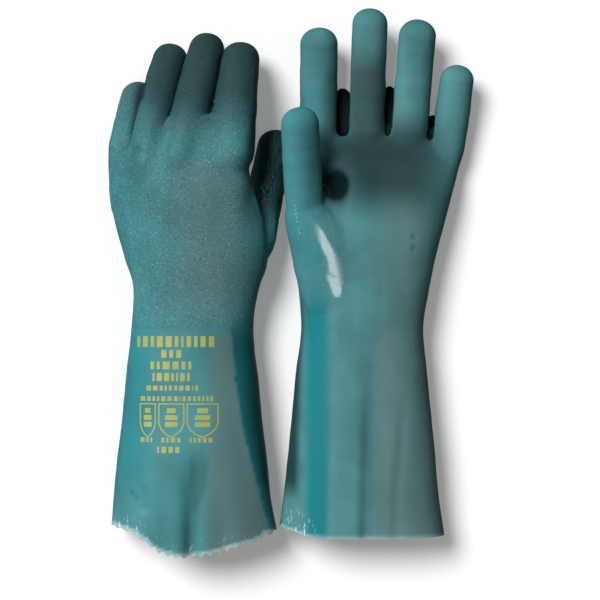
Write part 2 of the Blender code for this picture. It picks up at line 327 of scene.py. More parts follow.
@dataclass(frozen=True)
class InkFinish:
    """Yellow ink printed on the sleeve, thin and worn through in places."""

    name: str
    ink: Colour = (0.320, 0.360, 0.080)
    worn: Colour = (0.120, 0.260, 0.170)

    def build(self) -> bpy.types.Material:
        """Makes the material."""
        p = Painter(self.name)
        patch = p.noise(700.0, 3.0, 0.65)
        fade = (patch.ramp(0.50, 0.72) * 0.75 + p.noise(90.0, 2.0).ramp(0.5, 0.8) * 0.35).clamped()
        return p.finish(
            {
                "Base Color": p.mix(fade, self.ink, self.worn),
                "Roughness": (0.42 + patch * 0.2).clamped(),
                "Normal": p.bump(patch, 0.0002),
            }
        )


@dataclass(frozen=True)
class ThreadFinish:
    """Pale thread that shows at the seam of the liner."""

    name: str
    light: Colour = (0.50, 0.62, 0.34)
    shade: Colour = (0.22, 0.42, 0.28)

    def build(self) -> bpy.types.Material:
        """Makes the material."""
        p = Painter(self.name)
        twist = p.noise(1500.0, 2.0, 0.5)
        return p.finish(
            {
                "Base Color": p.mix(twist.ramp(0.35, 0.65), self.shade, self.light),
                "Roughness": (0.5 + twist * 0.25).clamped(),
                "Normal": p.bump(twist, 0.0003),
            }
        )


@dataclass(frozen=True)
class TableFinish:
    """The plain pale table."""

    name: str
    pale: Colour = (0.90, 0.90, 0.90)
    glow: float = 0.20

    def build(self) -> bpy.types.Material:
        """Makes the material."""
        p = Painter(self.name)
        glow = {"Emission Color": (1.0, 1.0, 1.0), "Emission Strength": self.glow}
        return p.finish({"Base Color": self.pale, "Roughness": 0.8, "Specular IOR Level": 0.1, **glow})


# ---------------------------------------------------------------------------------------------
# Shapes
# ---------------------------------------------------------------------------------------------


def smooth(share: Array) -> Array:
    """Smooth steps from 0 to 1 of shares that are held between 0 and 1."""
    held = np.clip(share, 0.0, 1.0)
    return held * held * (3.0 - 2.0 * held)


def between(low: float, high: float, values: Array) -> Array:
    """0 below low, 1 above high and smooth between them."""
    return smooth((values - low) / (high - low))


def window(rise: tuple[float, float], fall: tuple[float, float], values: Array) -> Array:
    """1 between a smooth rise and a smooth fall, and 0 outside them."""
    return between(*rise, values) * (1 - between(*fall, values))


def bell(middle: float, width: float, values: Array, power: int = 2) -> Array:
    """1 at the middle, falling off on both sides; a higher power makes its top flatter."""
    return np.exp(-(((values - middle) / width) ** power))


def unit(vectors: Array) -> Array:
    """The vectors, each made one long."""
    return vectors / np.maximum(np.linalg.norm(vectors, axis=-1, keepdims=True), 1e-12)


def to_line(points: Array, line: Array) -> tuple[Array, Array]:
    """How far points of the plan lie from a line of points, and how far along it they come.

    Args:
        points: places in the plan, one row each.
        line: the line's own points, one row each.

    Returns:
        Each point's distance from the line, and its share of the line's length.
    """
    steps = np.linalg.norm(np.diff(line, axis=0), axis=1)
    starts = np.concatenate([[0.0], np.cumsum(steps)])
    nearest = np.full(len(points), 1e9)
    share = np.zeros(len(points))
    for index, step in enumerate(steps):
        begin = line[index]
        ahead = (line[index + 1] - begin) / step
        along = np.clip((points - begin) @ ahead, 0.0, step)
        distance = np.linalg.norm(points - begin - along[:, None] * ahead, axis=1)
        closer = distance < nearest
        nearest[closer] = distance[closer]
        share[closer] = (starts[index] + along[closer]) / starts[-1]
    return nearest, share


def through(places: Array, rows: Array, wanted: Array) -> Array:
    """Smooth curves through rows of numbers that keep from overshooting.

    Args:
        places: where each row is known, rising.
        rows: the numbers there, one row for each place.
        wanted: the places to read.

    Returns:
        One row for each wanted place.
    """
    gaps = np.diff(places)[:, None]
    slopes = np.diff(rows, axis=0) / gaps
    tangents = np.zeros_like(rows)
    same = slopes[:-1] * slopes[1:] > 0
    mean = 2 * slopes[:-1] * slopes[1:] / np.where(same, slopes[:-1] + slopes[1:], 1.0)
    tangents[1:-1] = np.where(same, mean, 0.0)
    tangents[0], tangents[-1] = slopes[0], slopes[-1]
    index = np.clip(np.searchsorted(places, wanted) - 1, 0, len(places) - 2)
    step = gaps[index]
    t = ((wanted - places[index]) / step[:, 0])[:, None]
    first = (1 + 2 * t) * (1 - t) ** 2 * rows[index] + t * (1 - t) ** 2 * step * tangents[index]
    last = t * t * (3 - 2 * t) * rows[index + 1] + t * t * (t - 1) * step * tangents[index + 1]
    return first + last


class Palm(Enum):
    """Which way a glove's palm faces."""

    UP = 1
    DOWN = -1


@dataclass(frozen=True)
class Station:
    """A cross-section: its place along the glove, sides, underside and top.

    Attributes:
        lean: how much higher the right side stands than the left.
        trail: how far the left and right edges fall back behind the middle.
    """

    y: float
    left: float
    right: float
    low: float
    high: float
    lean: float = 0.0
    trail: tuple[float, float] = (0.0, 0.0)

    def row(self) -> list[float]:
        """The station's numbers beside its place."""
        return [self.left, self.right, self.low, self.high, self.lean, *self.trail]


@dataclass(frozen=True)
class Digit:
    """A finger or thumb: a curved tube from a root inside the palm.

    Attributes:
        heading: degrees from +Y towards +X.
        pitch: degrees above the table.
        curl: degrees that it bends towards the palm over its length.
        folds: distances from the root to its two folds.
        roll: degrees that its palm side is turned towards +X.
        tip_at: distance from the root to the tip, where it is less than the length that it curls over.
        sway: how far the tip leans across.
        taper: how slim the root is inside the palm, and the distance by which it is full.
    """

    name: str
    root: tuple[float, float, float]
    heading: float
    pitch: float
    curl: float
    length: float
    width: float
    depth: float
    folds: tuple[float, float]
    roll: float = 0.0
    tip_at: float = 0.0
    sway: float = 0.0
    taper: tuple[float, float] = (0.7, 0.004)
    half_zone: float = 0.0085
    squareness: float = 2.15
    root_fullness: float = 0.97
    tip_fullness: float = 0.92

    def axes(self, palm: Palm) -> tuple[Array, Array, Array]:
        """The starting direction, the direction of the palm side, and the fold axis."""
        heading, pitch, roll = (math.radians(a) for a in (self.heading, self.pitch, self.roll))
        along = np.array(
            [math.sin(heading) * math.cos(pitch), math.cos(heading) * math.cos(pitch), math.sin(pitch)]
        )
        facing = np.array([0.0, 0.0, float(palm.value)])
        facing = unit(facing - along * (facing @ along))
        facing = facing * math.cos(roll) + np.cross(along, facing) * math.sin(roll)
        return along, facing, np.cross(along, facing)

    def place(self, palm: Palm, distance: Array, across: Array, palmward: Array) -> Array:
        """Points at distances from the root, offset across and towards the palm side."""
        along, facing, axis = self.axes(palm)
        curl = math.radians(self.curl)
        radius = self.length / curl
        angle = curl * distance / self.length
        centre = np.array(self.root) + radius * facing
        across = across + self.lean_at(distance)
        outward = np.sin(angle)[:, None] * along - np.cos(angle)[:, None] * facing
        return centre + (radius - palmward)[:, None] * outward + across[:, None] * axis

    def locate(self, palm: Palm, points: Array) -> tuple[Array, Array, Array]:
        """The reverse of place: each point's distance, offset across, and offset to the palm side."""
        along, facing, axis = self.axes(palm)
        curl = math.radians(self.curl)
        radius = self.length / curl
        arm = points - (np.array(self.root) + radius * facing)
        forward, down = arm @ along, -(arm @ facing)
        distance = np.arctan2(forward, down) * self.length / curl
        across = (points - np.array(self.root)) @ axis - self.lean_at(distance)
        return distance, across, radius - np.hypot(forward, down)

    def lean_at(self, distance: Array) -> Array:
        """How far the middle line leans across at distances from the root."""
        return self.sway * (0.25 + 0.75 * np.maximum(distance, 0.0) / self.length)

    @property
    def end(self) -> float:
        """Distance from the root to the tip."""
        return self.tip_at or self.length

    def direction(self, palm: Palm, distance: float) -> Array:
        """The digit's direction at a distance from its root."""
        ends = np.array([distance - 1e-4, distance + 1e-4])
        low, high = self.place(palm, ends, np.zeros(2), np.zeros(2))
        return unit(high - low)

    def halves(self, distance: Array, swell: float = 1.0) -> tuple[Array, Array]:
        """Half the digit's width and depth at distances from its root."""
        share = np.clip(distance / (self.end - self.depth / 2), 0.0, 1.0)
        full = self.root_fullness + (self.tip_fullness - self.root_fullness) * share
        for fold in self.folds:
            full = full + swell * 0.004 * np.exp(-(((distance - fold) / 0.007) ** 2))
            full = full - swell * 0.003 * np.exp(-(((distance - fold - 0.014) / 0.007) ** 2))
        return self.width / 2 * full, self.depth / 2 * full

    def cap(self, distance: Array) -> Array:
        """How much the rounded ends shrink the outline at distances from the root."""
        radius = self.depth / 2
        past = np.clip((distance - (self.end - radius)) / radius, 0.0, 1.0)
        before = np.clip(-distance / radius, 0.0, 1.0)
        return np.sqrt(np.clip(1.0 - np.maximum(past, before) ** 2.2, 0.0, 1.0))

    def outline(self, sides: int) -> tuple[Array, Array]:
        """The outline's shares of half width and half depth, once round."""
        angle = np.arange(sides) * math.tau / sides
        power = 2.0 / self.squareness
        return (
            np.sign(np.cos(angle)) * np.abs(np.cos(angle)) ** power,
            np.sign(np.sin(angle)) * np.abs(np.sin(angle)) ** power,
        )

    def onto_surface(self, palm: Palm, points: Array) -> tuple[Array, Array]:
        """Points moved straight out or in onto the digit's surface, and the surface's normals there."""
        distance, across, palmward = self.locate(palm, points)
        wide, deep = self.halves(distance)
        power = self.squareness
        reach = np.abs(across / wide) ** power + np.abs(palmward / deep) ** power
        scale = np.maximum(reach, 1e-9) ** (-1.0 / power)
        across, palmward = across * scale, palmward * scale
        moved = self.place(palm, distance, across, palmward)
        steep_across = np.sign(across) * np.abs(across / wide) ** (power - 1) / wide
        steep_palm = np.sign(palmward) * np.abs(palmward / deep) ** (power - 1) / deep
        inner = self.place(palm, distance, across - steep_across * 1e-6, palmward - steep_palm * 1e-6)
        return moved, unit(moved - inner)


@dataclass(frozen=True)
class Blob:
    """A rounded swelling that melts into the palm: its middle, radii and heading in degrees."""

    middle: tuple[float, float, float]
    radii: tuple[float, float, float]
    heading: float = 0.0


@dataclass(frozen=True)
class Groove:
    """A crease pressed into the upper side along a line of the plan.

    Attributes:
        line: the points of its line.
        width: half its breadth, at its start and end.
        depth: how deep, at its start and end; below 0 it is a ridge.
        shade: how much darker its bottom is, at its start and end.
        side: the sign of the side that it lies on, +1 for the top.
        soft: shares of the line over which it fades in and out.
    """

    line: tuple[tuple[float, float], ...]
    width: tuple[float, float]
    depth: tuple[float, float]
    shade: tuple[float, float] = (0.0, 0.0)
    side: int = 1
    soft: tuple[float, float] = (0.2, 0.2)

    def press(self, points: Array, normals: Array) -> tuple[Array, Array]:
        """How deep the crease presses at each point, and how dark it is there."""
        distance, share = to_line(points[:, :2], np.array(self.line))
        width = self.width[0] + (self.width[1] - self.width[0]) * share
        profile = np.exp(-((distance / width) ** 2))
        fade = smooth(share / max(self.soft[0], 1e-6)) * smooth((1 - share) / max(self.soft[1], 1e-6))
        faces = between(0.05, 0.45, normals[:, 2] * self.side)
        strength = profile * fade * faces
        depth = self.depth[0] + (self.depth[1] - self.depth[0]) * share
        shade = self.shade[0] + (self.shade[1] - self.shade[0]) * share
        return depth * strength, shade * strength


@dataclass(frozen=True)
class Hem:
    """The cut edge of the sleeve in plan, with or without pinked teeth.

    Attributes:
        line: points of the edge from left to right.
        pitch: breadth of a tooth, or 0 for a plain cut.
        depth: how deep the teeth are.
        plain_until: the x below which the teeth are small.
    """

    line: tuple[tuple[float, float], ...]
    pitch: float = 0.0
    depth: float = 0.0
    plain_until: float = -1.0

    def edge(self, x: Array) -> Array:
        """The edge's place along the glove, without its teeth, at places across it."""
        known = np.array(self.line)
        held = np.clip(x, known[0, 0], known[-1, 0])
        return through(known[:, 0], known[:, 1:], held)[:, 0]

    def cutter_line(self) -> Array:
        """The points of the cut from left to right, teeth included."""
        first, last = self.line[0][0] - 0.03, self.line[-1][0] + 0.03
        if not self.pitch:
            x = np.linspace(first, last, 60)
            return np.column_stack([x, self.edge(x)])
        x = np.arange(first, last, self.pitch / 6)
        phase = (x / self.pitch) % 1.0
        wave = np.abs(phase * 2 - 1)
        wobble = np.array([noise.noise(Vector((value * 90.0, 3.1, 0.0))) for value in x])
        size = self.depth * (0.45 + 0.55 * between(self.plain_until - 0.004, self.plain_until + 0.006, x))
        return np.column_stack([x, self.edge(x) + wave * size * (1 + 0.35 * wobble)])


@dataclass
class Surface:
    """A mesh in numbers: its points, its faces and the normals at its points."""

    points: Array
    faces: list[tuple[int, ...]]
    normals: Array

    def edges_open(self) -> list[tuple[int, int]]:
        """The directed edges that only one face uses."""
        seen: dict[tuple[int, int], int] = {}
        for face in self.faces:
            for index, corner in enumerate(face):
                seen[(corner, face[(index + 1) % len(face)])] = 1
        return [edge for edge in seen if (edge[1], edge[0]) not in seen]


def link(name: str, points: Array, faces: Iterable[Sequence[int]]) -> bpy.types.Object:
    """A mesh object of these points and faces, in the scene."""
    mesh = bpy.data.meshes.new(name)
    mesh.from_pydata(points.tolist(), [], [tuple(face) for face in faces])
    mesh.validate()
    made = bpy.data.objects.new(name, mesh)
    bpy.context.scene.collection.objects.link(made)
    return made


def tube_faces(rings: int, sides: int, capped: bool = True) -> list:
    """Faces of rings of points in a row, with a many-sided face at each end if they are capped."""
    faces = []
    for level in range(rings - 1):
        low, high = level * sides, (level + 1) * sides
        for side in range(sides):
            following = (side + 1) % sides
            faces.append((low + side, low + following, high + following, high + side))
    if capped:
        faces.append(tuple(reversed(range(sides))))
        faces.append(tuple((rings - 1) * sides + side for side in range(sides)))
    return faces


def outward(points: Array, faces: list) -> list:
    """The faces, turned so that a closed body of them faces outwards."""
    volume = 0.0
    for face in faces:
        corner = points[face[0]]
        for second, third in zip(face[1:-1], face[2:]):
            volume += float(np.dot(corner, np.cross(points[second], points[third])))
    return faces if volume > 0 else [tuple(reversed(face)) for face in faces]


def mesh_numbers(mesh: bpy.types.Mesh) -> tuple[Array, list, Array]:
    """A mesh's points, faces and point normals."""
    points = np.zeros(len(mesh.vertices) * 3)
    mesh.vertices.foreach_get("co", points)
    normals = np.zeros(len(mesh.vertices) * 3)
    mesh.vertices.foreach_get("normal", normals)
    faces = [tuple(face.vertices) for face in mesh.polygons]
    return points.reshape(-1, 3), faces, normals.reshape(-1, 3)


def through_modifiers(thing: bpy.types.Object) -> bpy.types.Mesh:
    """The object's mesh with its modifiers applied. The object itself is removed."""
    bpy.context.view_layer.update()
    graph = bpy.context.evaluated_depsgraph_get()
    mesh = bpy.data.meshes.new_from_object(thing.evaluated_get(graph))
    bpy.data.objects.remove(thing)
    return mesh


def point_normals(points: Array, faces: Sequence[Sequence[int]]) -> Array:
    """The normals at the points of a mesh of these faces."""
    mesh = bpy.data.meshes.new("scratch")
    mesh.from_pydata(points.tolist(), [], [tuple(face) for face in faces])
    numbers = mesh_numbers(mesh)
    bpy.data.meshes.remove(mesh)
    return numbers[2]


def cloud(points: Array, scale: float, seed: float) -> Array:
    """Smooth random numbers between about -1 and 1 at points."""
    shift = Vector((seed, seed * 1.7, seed * 0.3))
    return np.array([noise.noise(Vector(point) * scale + shift) for point in points.tolist()])


@dataclass
class Shell:
    """A closed wall made from an outer surface: its points, faces, and the normal of each corner."""

    points: Array
    faces: list[tuple[int, ...]]
    corners: list

    @classmethod
    def around(cls, surface: Surface, start: float, wall: float) -> "Shell":
        """A wall that starts a distance inside the surface.

        Args:
            surface: the outer surface.
            start: how far inside it the wall begins.
            wall: how thick the wall is.

        Returns:
            The closed wall.
        """
        count = len(surface.points)
        outer = surface.points - surface.normals * start
        inner = surface.points - surface.normals * (start + wall)
        outer[:, 2] = np.maximum(outer[:, 2], start)
        inner[:, 2] = np.maximum(inner[:, 2], start + wall)
        points = np.vstack([outer, inner])
        faces = list(surface.faces)
        corners = [surface.normals[corner] for face in faces for corner in face]
        for face in surface.faces:
            turned = tuple(corner + count for corner in reversed(face))
            faces.append(turned)
            corners += [-surface.normals[corner - count] for corner in turned]
        for first, second in surface.edges_open():
            face = (second, first, first + count, second + count)
            normal = np.cross(points[face[1]] - points[face[0]], points[face[3]] - points[face[0]])
            faces.append(face)
            corners += [unit(normal)] * 4
        return cls(points, faces, corners)


@dataclass(frozen=True)
class InkMark:
    """A printed bar or frame on the sleeve: its box in plan, and how it is broken up.

    Attributes:
        box: low x, high x, low y, high y.
        blocks: how many blocks it is broken into.
        frame: the breadth of the outline where it is a frame, or 0.
        seed: makes its blocks' lengths differ from another bar's.
    """

    box: tuple[float, float, float, float]
    blocks: int = 1
    frame: float = 0.0
    seed: float = 0.0

    def pieces(self) -> list[Array]:
        """The inked four-cornered patches in plan, each as its corners once round."""
        x0, x1, y0, y1 = self.box
        if self.frame:
            foot = ((0.0, 1.0), (0.0, 0.42), (0.09, 0.24), (0.27, 0.10), (0.5, 0.0))
            shares = np.array(foot + tuple((1 - x, y) for x, y in reversed(foot[:-1])))
            outline = np.array([x0, y0]) + shares * [x1 - x0, y1 - y0]
            middle = np.array([(x0 + x1) / 2, y0 + (y1 - y0) * 0.55])
            shrink = 1 - 2 * self.frame / np.array([x1 - x0, y1 - y0])
            inner = middle + (outline - middle) * shrink
            sides = len(outline)
            turns = [(k, (k + 1) % sides) for k in range(sides)]
            quads = [np.array([outline[k], outline[n], inner[n], inner[k]]) for k, n in turns]
            wide, tall = (x1 - x0) * 0.24, (y1 - y0) * 0.07
            for lift, share in ((-0.16, 1.0), (0.04, 1.0), (0.24, 0.7)):
                x, y = middle + [0.0, (y1 - y0) * lift]
                quads.append(self.corners(x - wide * share, x + wide * share, y - tall, y + tall))
            return quads
        seeds = [Vector((self.seed + index * 1.37, 0.5, 0.0)) for index in range(self.blocks)]
        shares = [1.0 + 0.55 * noise.noise(seed) for seed in seeds]
        total = sum(shares)
        gap = (x1 - x0) / self.blocks * 0.40
        boxes, start = [], x0
        for share in shares:
            width = (x1 - x0) * share / total
            boxes.append(self.corners(start, start + width - gap, y0, y1))
            start += width
        return boxes

    @staticmethod
    def corners(x0: float, x1: float, y0: float, y1: float) -> Array:
        """A box's corners once round."""
        return np.array([(x0, y0), (x1, y0), (x1, y1), (x0, y1)])


@dataclass
class Glove:
    """One glove: its skin, its liner, and the way that both are parted into pieces.

    Attributes:
        wrist: the wrist hinge's place in the drawing.
        zone: where along the glove the wrist's stretch starts and ends; the skin is parted at its start.
        squareness: the exponent of the body's outline, 2 for an oval.
        sides: points round the body.
        sink: how far the body's underside is pressed flat on the table.
        slant: how far the knuckles' line falls back across the palm.
        crease_depth: how deep the creases on the palm side of a digit are.
    """

    name: str = ""
    palm: Palm = Palm.UP
    wrist: tuple[float, float, float] = (0.0, 0.0, 0.0)
    zone: tuple[float, float] = (-0.045, 0.003)
    squareness: float = 2.4
    sides: int = 96
    sink: float = 0.006
    slant: float = 0.0
    crease_depth: float = 0.00018

    def __post_init__(self) -> None:
        """Finds where the glove lies in the frame."""
        joint = next(j for j in frame["joints"] if j["name"] == f"{self.name}_wrist")
        self.shift = np.array(joint["pos_m"]) - np.array(self.wrist)
        self.stations = self.stations_table()
        self.digits = self.digits_table()

    def stations_table(self) -> tuple[Station, ...]:
        """The cross-sections, from beyond the hem to the knuckles."""
        raise NotImplementedError

    def digits_table(self) -> tuple[Digit, ...]:
        """The digits."""
        raise NotImplementedError

    def grooves(self) -> tuple[Groove, ...]:
        """The creases and ridges of palm and sleeve."""
        return ()

    def swellings(self) -> tuple[Blob, ...]:
        """The rounded swellings of the palm."""
        return ()

    def hems(self) -> tuple[Hem, Hem]:
        """The cut edges of the upper and the lower side."""
        raise NotImplementedError

    def masks(self, points: Array, normals: Array) -> dict[str, Array]:
        """The finish's masks at points of the outer surface."""
        raise NotImplementedError

    def crease_shade(self, points: Array, normals: Array) -> Array:
        """How dark the creases are at points of the skin, except on its underside."""
        shade = np.zeros(len(points))
        steep = np.maximum(normals, [-1, -1, 0.45])
        for groove in self.grooves():
            shade = np.maximum(shade, groove.press(points, steep)[1] * (normals[:, 2] > -0.2))
        return shade

    def unevenness(self, points: Array) -> Array:
        """How far the skin stands out or in, apart from its creases."""
        return cloud(points, 28.0, 3.0) * 0.0007 + cloud(points, 85.0, 7.0) * 0.00022

    # -- whole surface ---------------------------------------------------------------------

    def body(self) -> tuple[Array, list]:
        """The sleeve and palm as one closed tube."""
        places = np.array([station.y for station in self.stations])
        table = np.array([station.row() for station in self.stations])
        y = np.arange(places[0], places[-1] + 0.0015, 0.003)
        left, right, low, high, lean, trail_left, trail_right = through(places, table, y).T[:, :, None]
        angle = (np.arange(self.sides) + 0.5) * math.tau / self.sides
        power = 2.0 / self.squareness
        round_x = np.sign(np.cos(angle)) * np.abs(np.cos(angle)) ** power
        round_z = np.sign(np.sin(angle)) * np.abs(np.sin(angle)) ** power
        half_width = (right - left) / 2
        sink = self.sink * (1 - between(0.0, 0.004, low))
        middle, half_height = (high + low - sink) / 2, (high - low + sink) / 2
        z = np.maximum(middle + round_z * half_height, low) + lean * round_x
        trail = np.where(round_x < 0, trail_left, trail_right)
        x = (left + right) / 2 + round_x * half_width
        slant = self.slant * between(0.05, places[-1], y)[:, None] * round_x * half_width
        points = np.stack([x, y[:, None] - trail * round_x**2 + slant, z], axis=-1).reshape(-1, 3)
        return points, tube_faces(len(y), self.sides)

    def stub(self, digit: Digit) -> tuple[Array, list]:
        """The part of a digit that belongs to the palm, a little slimmer where it will be cut."""
        ring = digit.folds[0] - digit.half_zone
        distance = np.arange(-0.014, ring + 0.0071, 0.0015)
        wide, deep = digit.halves(distance)
        slim = 0.0005 * between(ring - 0.014, ring - 0.006, distance)
        start = np.sqrt(np.clip(1 - np.clip((-0.004 - distance) / 0.011, 0, 1) ** 2, 0.02, 1))
        start = start * (digit.taper[0] + (1 - digit.taper[0]) * between(-0.014, digit.taper[1], distance))
        across, palmward = digit.outline(40)
        rings = [
            digit.place(self.palm, np.full(40, s), across * (w - c) * k, palmward * (d - c) * k)
            for s, w, d, c, k in zip(distance, wide, deep, slim, start)
        ]
        return np.vstack(rings), tube_faces(len(distance), 40)

    def blob(self, swelling: Blob) -> tuple[Array, list]:
        """A swelling as a closed egg."""
        rise = np.linspace(-math.pi / 2 + 0.12, math.pi / 2 - 0.12, 15)
        turn = np.arange(32) * math.tau / 32
        rx, ry, rz = swelling.radii
        x = rx * np.cos(rise)[:, None] * np.cos(turn)
        z = rz * np.cos(rise)[:, None] * np.sin(turn)
        y = ry * np.sin(rise)[:, None] + 0 * turn
        sine, cosine = math.sin(math.radians(swelling.heading)), math.cos(math.radians(swelling.heading))
        points = np.stack([x * cosine + y * sine, y * cosine - x * sine, z], -1)
        return points.reshape(-1, 3) + np.array(swelling.middle), tube_faces(15, 32)

    def melt(self) -> Surface:
        """The body, stubs and swellings melted into one surface."""
        parts = [self.body()] + [self.stub(digit) for digit in self.digits]
        parts += [self.blob(swelling) for swelling in self.swellings()]
        points, faces, count = [], [], 0
        for part_points, part_faces in parts:
            part_faces = outward(part_points, part_faces)
            points.append(part_points)
            faces += [tuple(corner + count for corner in face) for face in part_faces]
            count += len(part_points)
        thing = link(f"{self.name}_melt", np.vstack(points), faces)
        remesh = thing.modifiers.new("melt", "REMESH")
        remesh.mode = "VOXEL"
        remesh.voxel_size = VOXEL
        smoothing = thing.modifiers.new("smooth", "SMOOTH")
        smoothing.factor = 0.5
        smoothing.iterations = 11
        mesh = through_modifiers(thing)
        points, faces, normals = mesh_numbers(mesh)
        bpy.data.meshes.remove(mesh)
        return Surface(points, faces, normals)

    def owners(self, points: Array) -> tuple[Array, Array, Array]:
        """Which digit each point near a cut belongs to.

        Args:
            points: places on the surface.

        Returns:
            The digit's index or -1, how far the point lies beyond that digit's cut, and how far out
            it stands as a share of the digit's own radius.
        """
        owner = np.full(len(points), -1)
        beyond = np.full(len(points), -1.0)
        least = np.full(len(points), 1.45)
        for index, digit in enumerate(self.digits):
            distance, across, palmward = digit.locate(self.palm, points)
            wide, deep = digit.halves(distance)
            power = digit.squareness
            reach = (np.abs(across / wide) ** power + np.abs(palmward / deep) ** power) ** (1 / power)
            past = distance - (digit.folds[0] - digit.half_zone)
            inside = (reach < least) & (past > -0.027) & (past < 0.014)
            owner[inside], beyond[inside], least[inside] = index, past[inside], reach[inside]
        return owner, beyond, least

    def whole(self) -> Surface:
        """The finished outer surface with its creases, before it is parted."""
        surface = self.melt()
        points = surface.points
        owner, beyond, reach = self.owners(points)
        calm = np.where(owner >= 0, between(-0.014, -0.004, beyond), 0.0)
        push = self.unevenness(points)
        for groove in self.grooves():
            push = push - groove.press(points, surface.normals)[0]
        points = points + surface.normals * (push * (1 - calm))[:, None]
        settled = calm * (1 - between(1.06, 1.18, reach)) * between(0.45, 0.62, reach)
        exact = np.zeros_like(points)
        for index, digit in enumerate(self.digits):
            chosen = np.nonzero((owner == index) & (settled > 0))[0]
            moved, steady = digit.onto_surface(self.palm, points[chosen])
            exact[chosen] = steady
            points[chosen] += (moved - points[chosen]) * settled[chosen, None]
        points[:, 2] = np.maximum(points[:, 2], 0.0)
        normals = point_normals(points, surface.faces)
        share = (settled * between(-0.008, -0.002, beyond))[:, None]
        normals = unit(normals * (1 - share) + exact * share)
        return Surface(points, surface.faces, normals)

    def part_surface(self, surface: Surface) -> tuple[Surface, Surface]:
        """Parts the whole surface at the wrist and along the digits' cuts.

        Args:
            surface: the whole outer surface.

        Returns:
            The sleeve's surface and the hand's, each open at its cuts.
        """
        mesh = bpy.data.meshes.new("scratch")
        mesh.from_pydata(surface.points.tolist(), [], [tuple(face) for face in surface.faces])
        grid = bmesh.new()
        grid.from_mesh(mesh)
        bpy.data.meshes.remove(mesh)
        carried = grid.verts.layers.float_vector.new("carried")
        grid.verts.ensure_lookup_table()
        for vertex, normal in zip(grid.verts, surface.normals.tolist()):
            vertex[carried] = normal
        for index, digit in enumerate(self.digits):
            ring = digit.folds[0] - digit.half_zone
            owner, beyond, reach = self.owners(np.array([vertex.co for vertex in grid.verts]))
            near = (owner == index) & (beyond > -0.006) & (beyond < 0.0088) & (reach < 1.07)
            grid.verts.ensure_lookup_table()
            grid.verts.index_update()
            chosen = [face for face in grid.faces if all(near[vertex.index] for vertex in face.verts)]
            geometry = set(chosen)
            for face in chosen:
                geometry.update(face.edges)
                geometry.update(face.verts)
            centre = digit.place(self.palm, np.array([ring]), np.zeros(1), np.zeros(1))[0]
            ahead = digit.direction(self.palm, ring)
            cut = bmesh.ops.bisect_plane(
                grid, geom=list(geometry), dist=1e-6, plane_co=centre, plane_no=ahead, clear_outer=True
            )
            edge = [item for item in cut["geom_cut"] if isinstance(item, bmesh.types.BMVert)]
            places, steady = digit.onto_surface(self.palm, np.array([vertex.co for vertex in edge]))
            for vertex, place, normal in zip(edge, places, steady):
                vertex.co = place
                vertex[carried] = normal
            grid.verts.index_update()
        halves = []
        for keep_hand in (False, True):
            half = grid.copy()
            bmesh.ops.bisect_plane(
                half,
                geom=half.verts[:] + half.edges[:] + half.faces[:],
                dist=1e-7,
                plane_co=(0.0, self.zone[0], 0.0),
                plane_no=(0.0, 1.0, 0.0),
                clear_outer=not keep_hand,
                clear_inner=keep_hand,
            )
            layer = half.verts.layers.float_vector["carried"]
            half.verts.index_update()
            points = np.array([vertex.co for vertex in half.verts])
            normals = unit(np.array([vertex[layer] for vertex in half.verts]))
            faces = [tuple(vertex.index for vertex in face.verts) for face in half.faces]
            half.free()
            halves.append(Surface(points, faces, normals))
        grid.free()
        return halves[0], halves[1]

    # -- digits ------------------------------------------------------------------------------

    def digit_lines(self, digit: Digit, distance: Array, across: Array, palmward: Array) -> Array:
        """How far the skin of a digit stands out at places on it."""
        deep = digit.depth / 2
        inner = between(-0.2, 0.7, palmward / deep)
        outer = between(-0.2, 0.7, -palmward / deep)
        push = np.zeros_like(distance)
        for fold in digit.folds:
            push -= inner * self.crease_depth * np.exp(-(((distance - fold) / 0.0022) ** 2))
            for step, depth in ((-0.0042, 0.00014), (-0.001, 0.00022), (0.0024, 0.00018), (0.0055, 0.00010)):
                wave = step + 0.0009 * np.sin(across * 330 + fold * 900)
                push -= outer * depth * np.exp(-(((distance - fold - wave) / 0.0010) ** 2))
        return push

    def digit_surface(self, digit: Digit, first: float, last: float, closed: bool) -> Surface:
        """The outer surface of a stretch of a digit.

        Args:
            digit: the digit.
            first: distance from the root where it starts.
            last: distance where it ends, if it is open there.
            closed: whether it runs to the rounded tip.

        Returns:
            The surface, open at its cuts.
        """
        sides, step = 44, 0.0016
        start_of_tip = digit.end - digit.depth / 2
        stop = start_of_tip if closed else last
        distance = np.linspace(first, stop, int((stop - first) / step) + 2)
        if closed:
            turns = np.radians(np.array([9, 18, 27, 36, 45, 54, 63, 71, 78, 84]))
            distance = np.concatenate([distance, start_of_tip + digit.depth / 2 * np.sin(turns)])
        share_x, share_z = digit.outline(sides)
        wide, deep = digit.halves(distance)
        cap = digit.cap(distance)
        across = (wide * cap)[:, None] * share_x
        palmward = (deep * cap)[:, None] * share_z
        along = np.repeat(distance[:, None], sides, axis=1)
        flat = [grid.ravel() for grid in (along, across, palmward)]
        points = digit.place(self.palm, *flat)
        faces = tube_faces(len(distance), sides, capped=False)
        if closed:
            tip = digit.place(self.palm, np.array([digit.end]), np.zeros(1), np.zeros(1))
            points = np.vstack([points, tip])
            top = (len(distance) - 1) * sides
            faces += [(top + side, top + (side + 1) % sides, len(points) - 1) for side in range(sides)]
            flat = [np.append(values, end) for values, end in zip(flat, (digit.end, 0.0, 0.0))]
        corner, second, third = (points[index] for index in faces[0][:3])
        middle = digit.place(self.palm, np.array([first]), np.zeros(1), np.zeros(1))[0]
        if np.cross(second - corner, third - corner) @ (corner - middle) < 0:
            faces = [tuple(reversed(face)) for face in faces]
        normals = point_normals(points, faces)
        calm = between(first, first + 0.007, flat[0])
        if not closed:
            calm = calm * (1 - between(last - 0.007, last, flat[0]))
        push = (self.digit_lines(digit, *flat) + self.unevenness(points)) * calm
        points = points + normals * push[:, None]
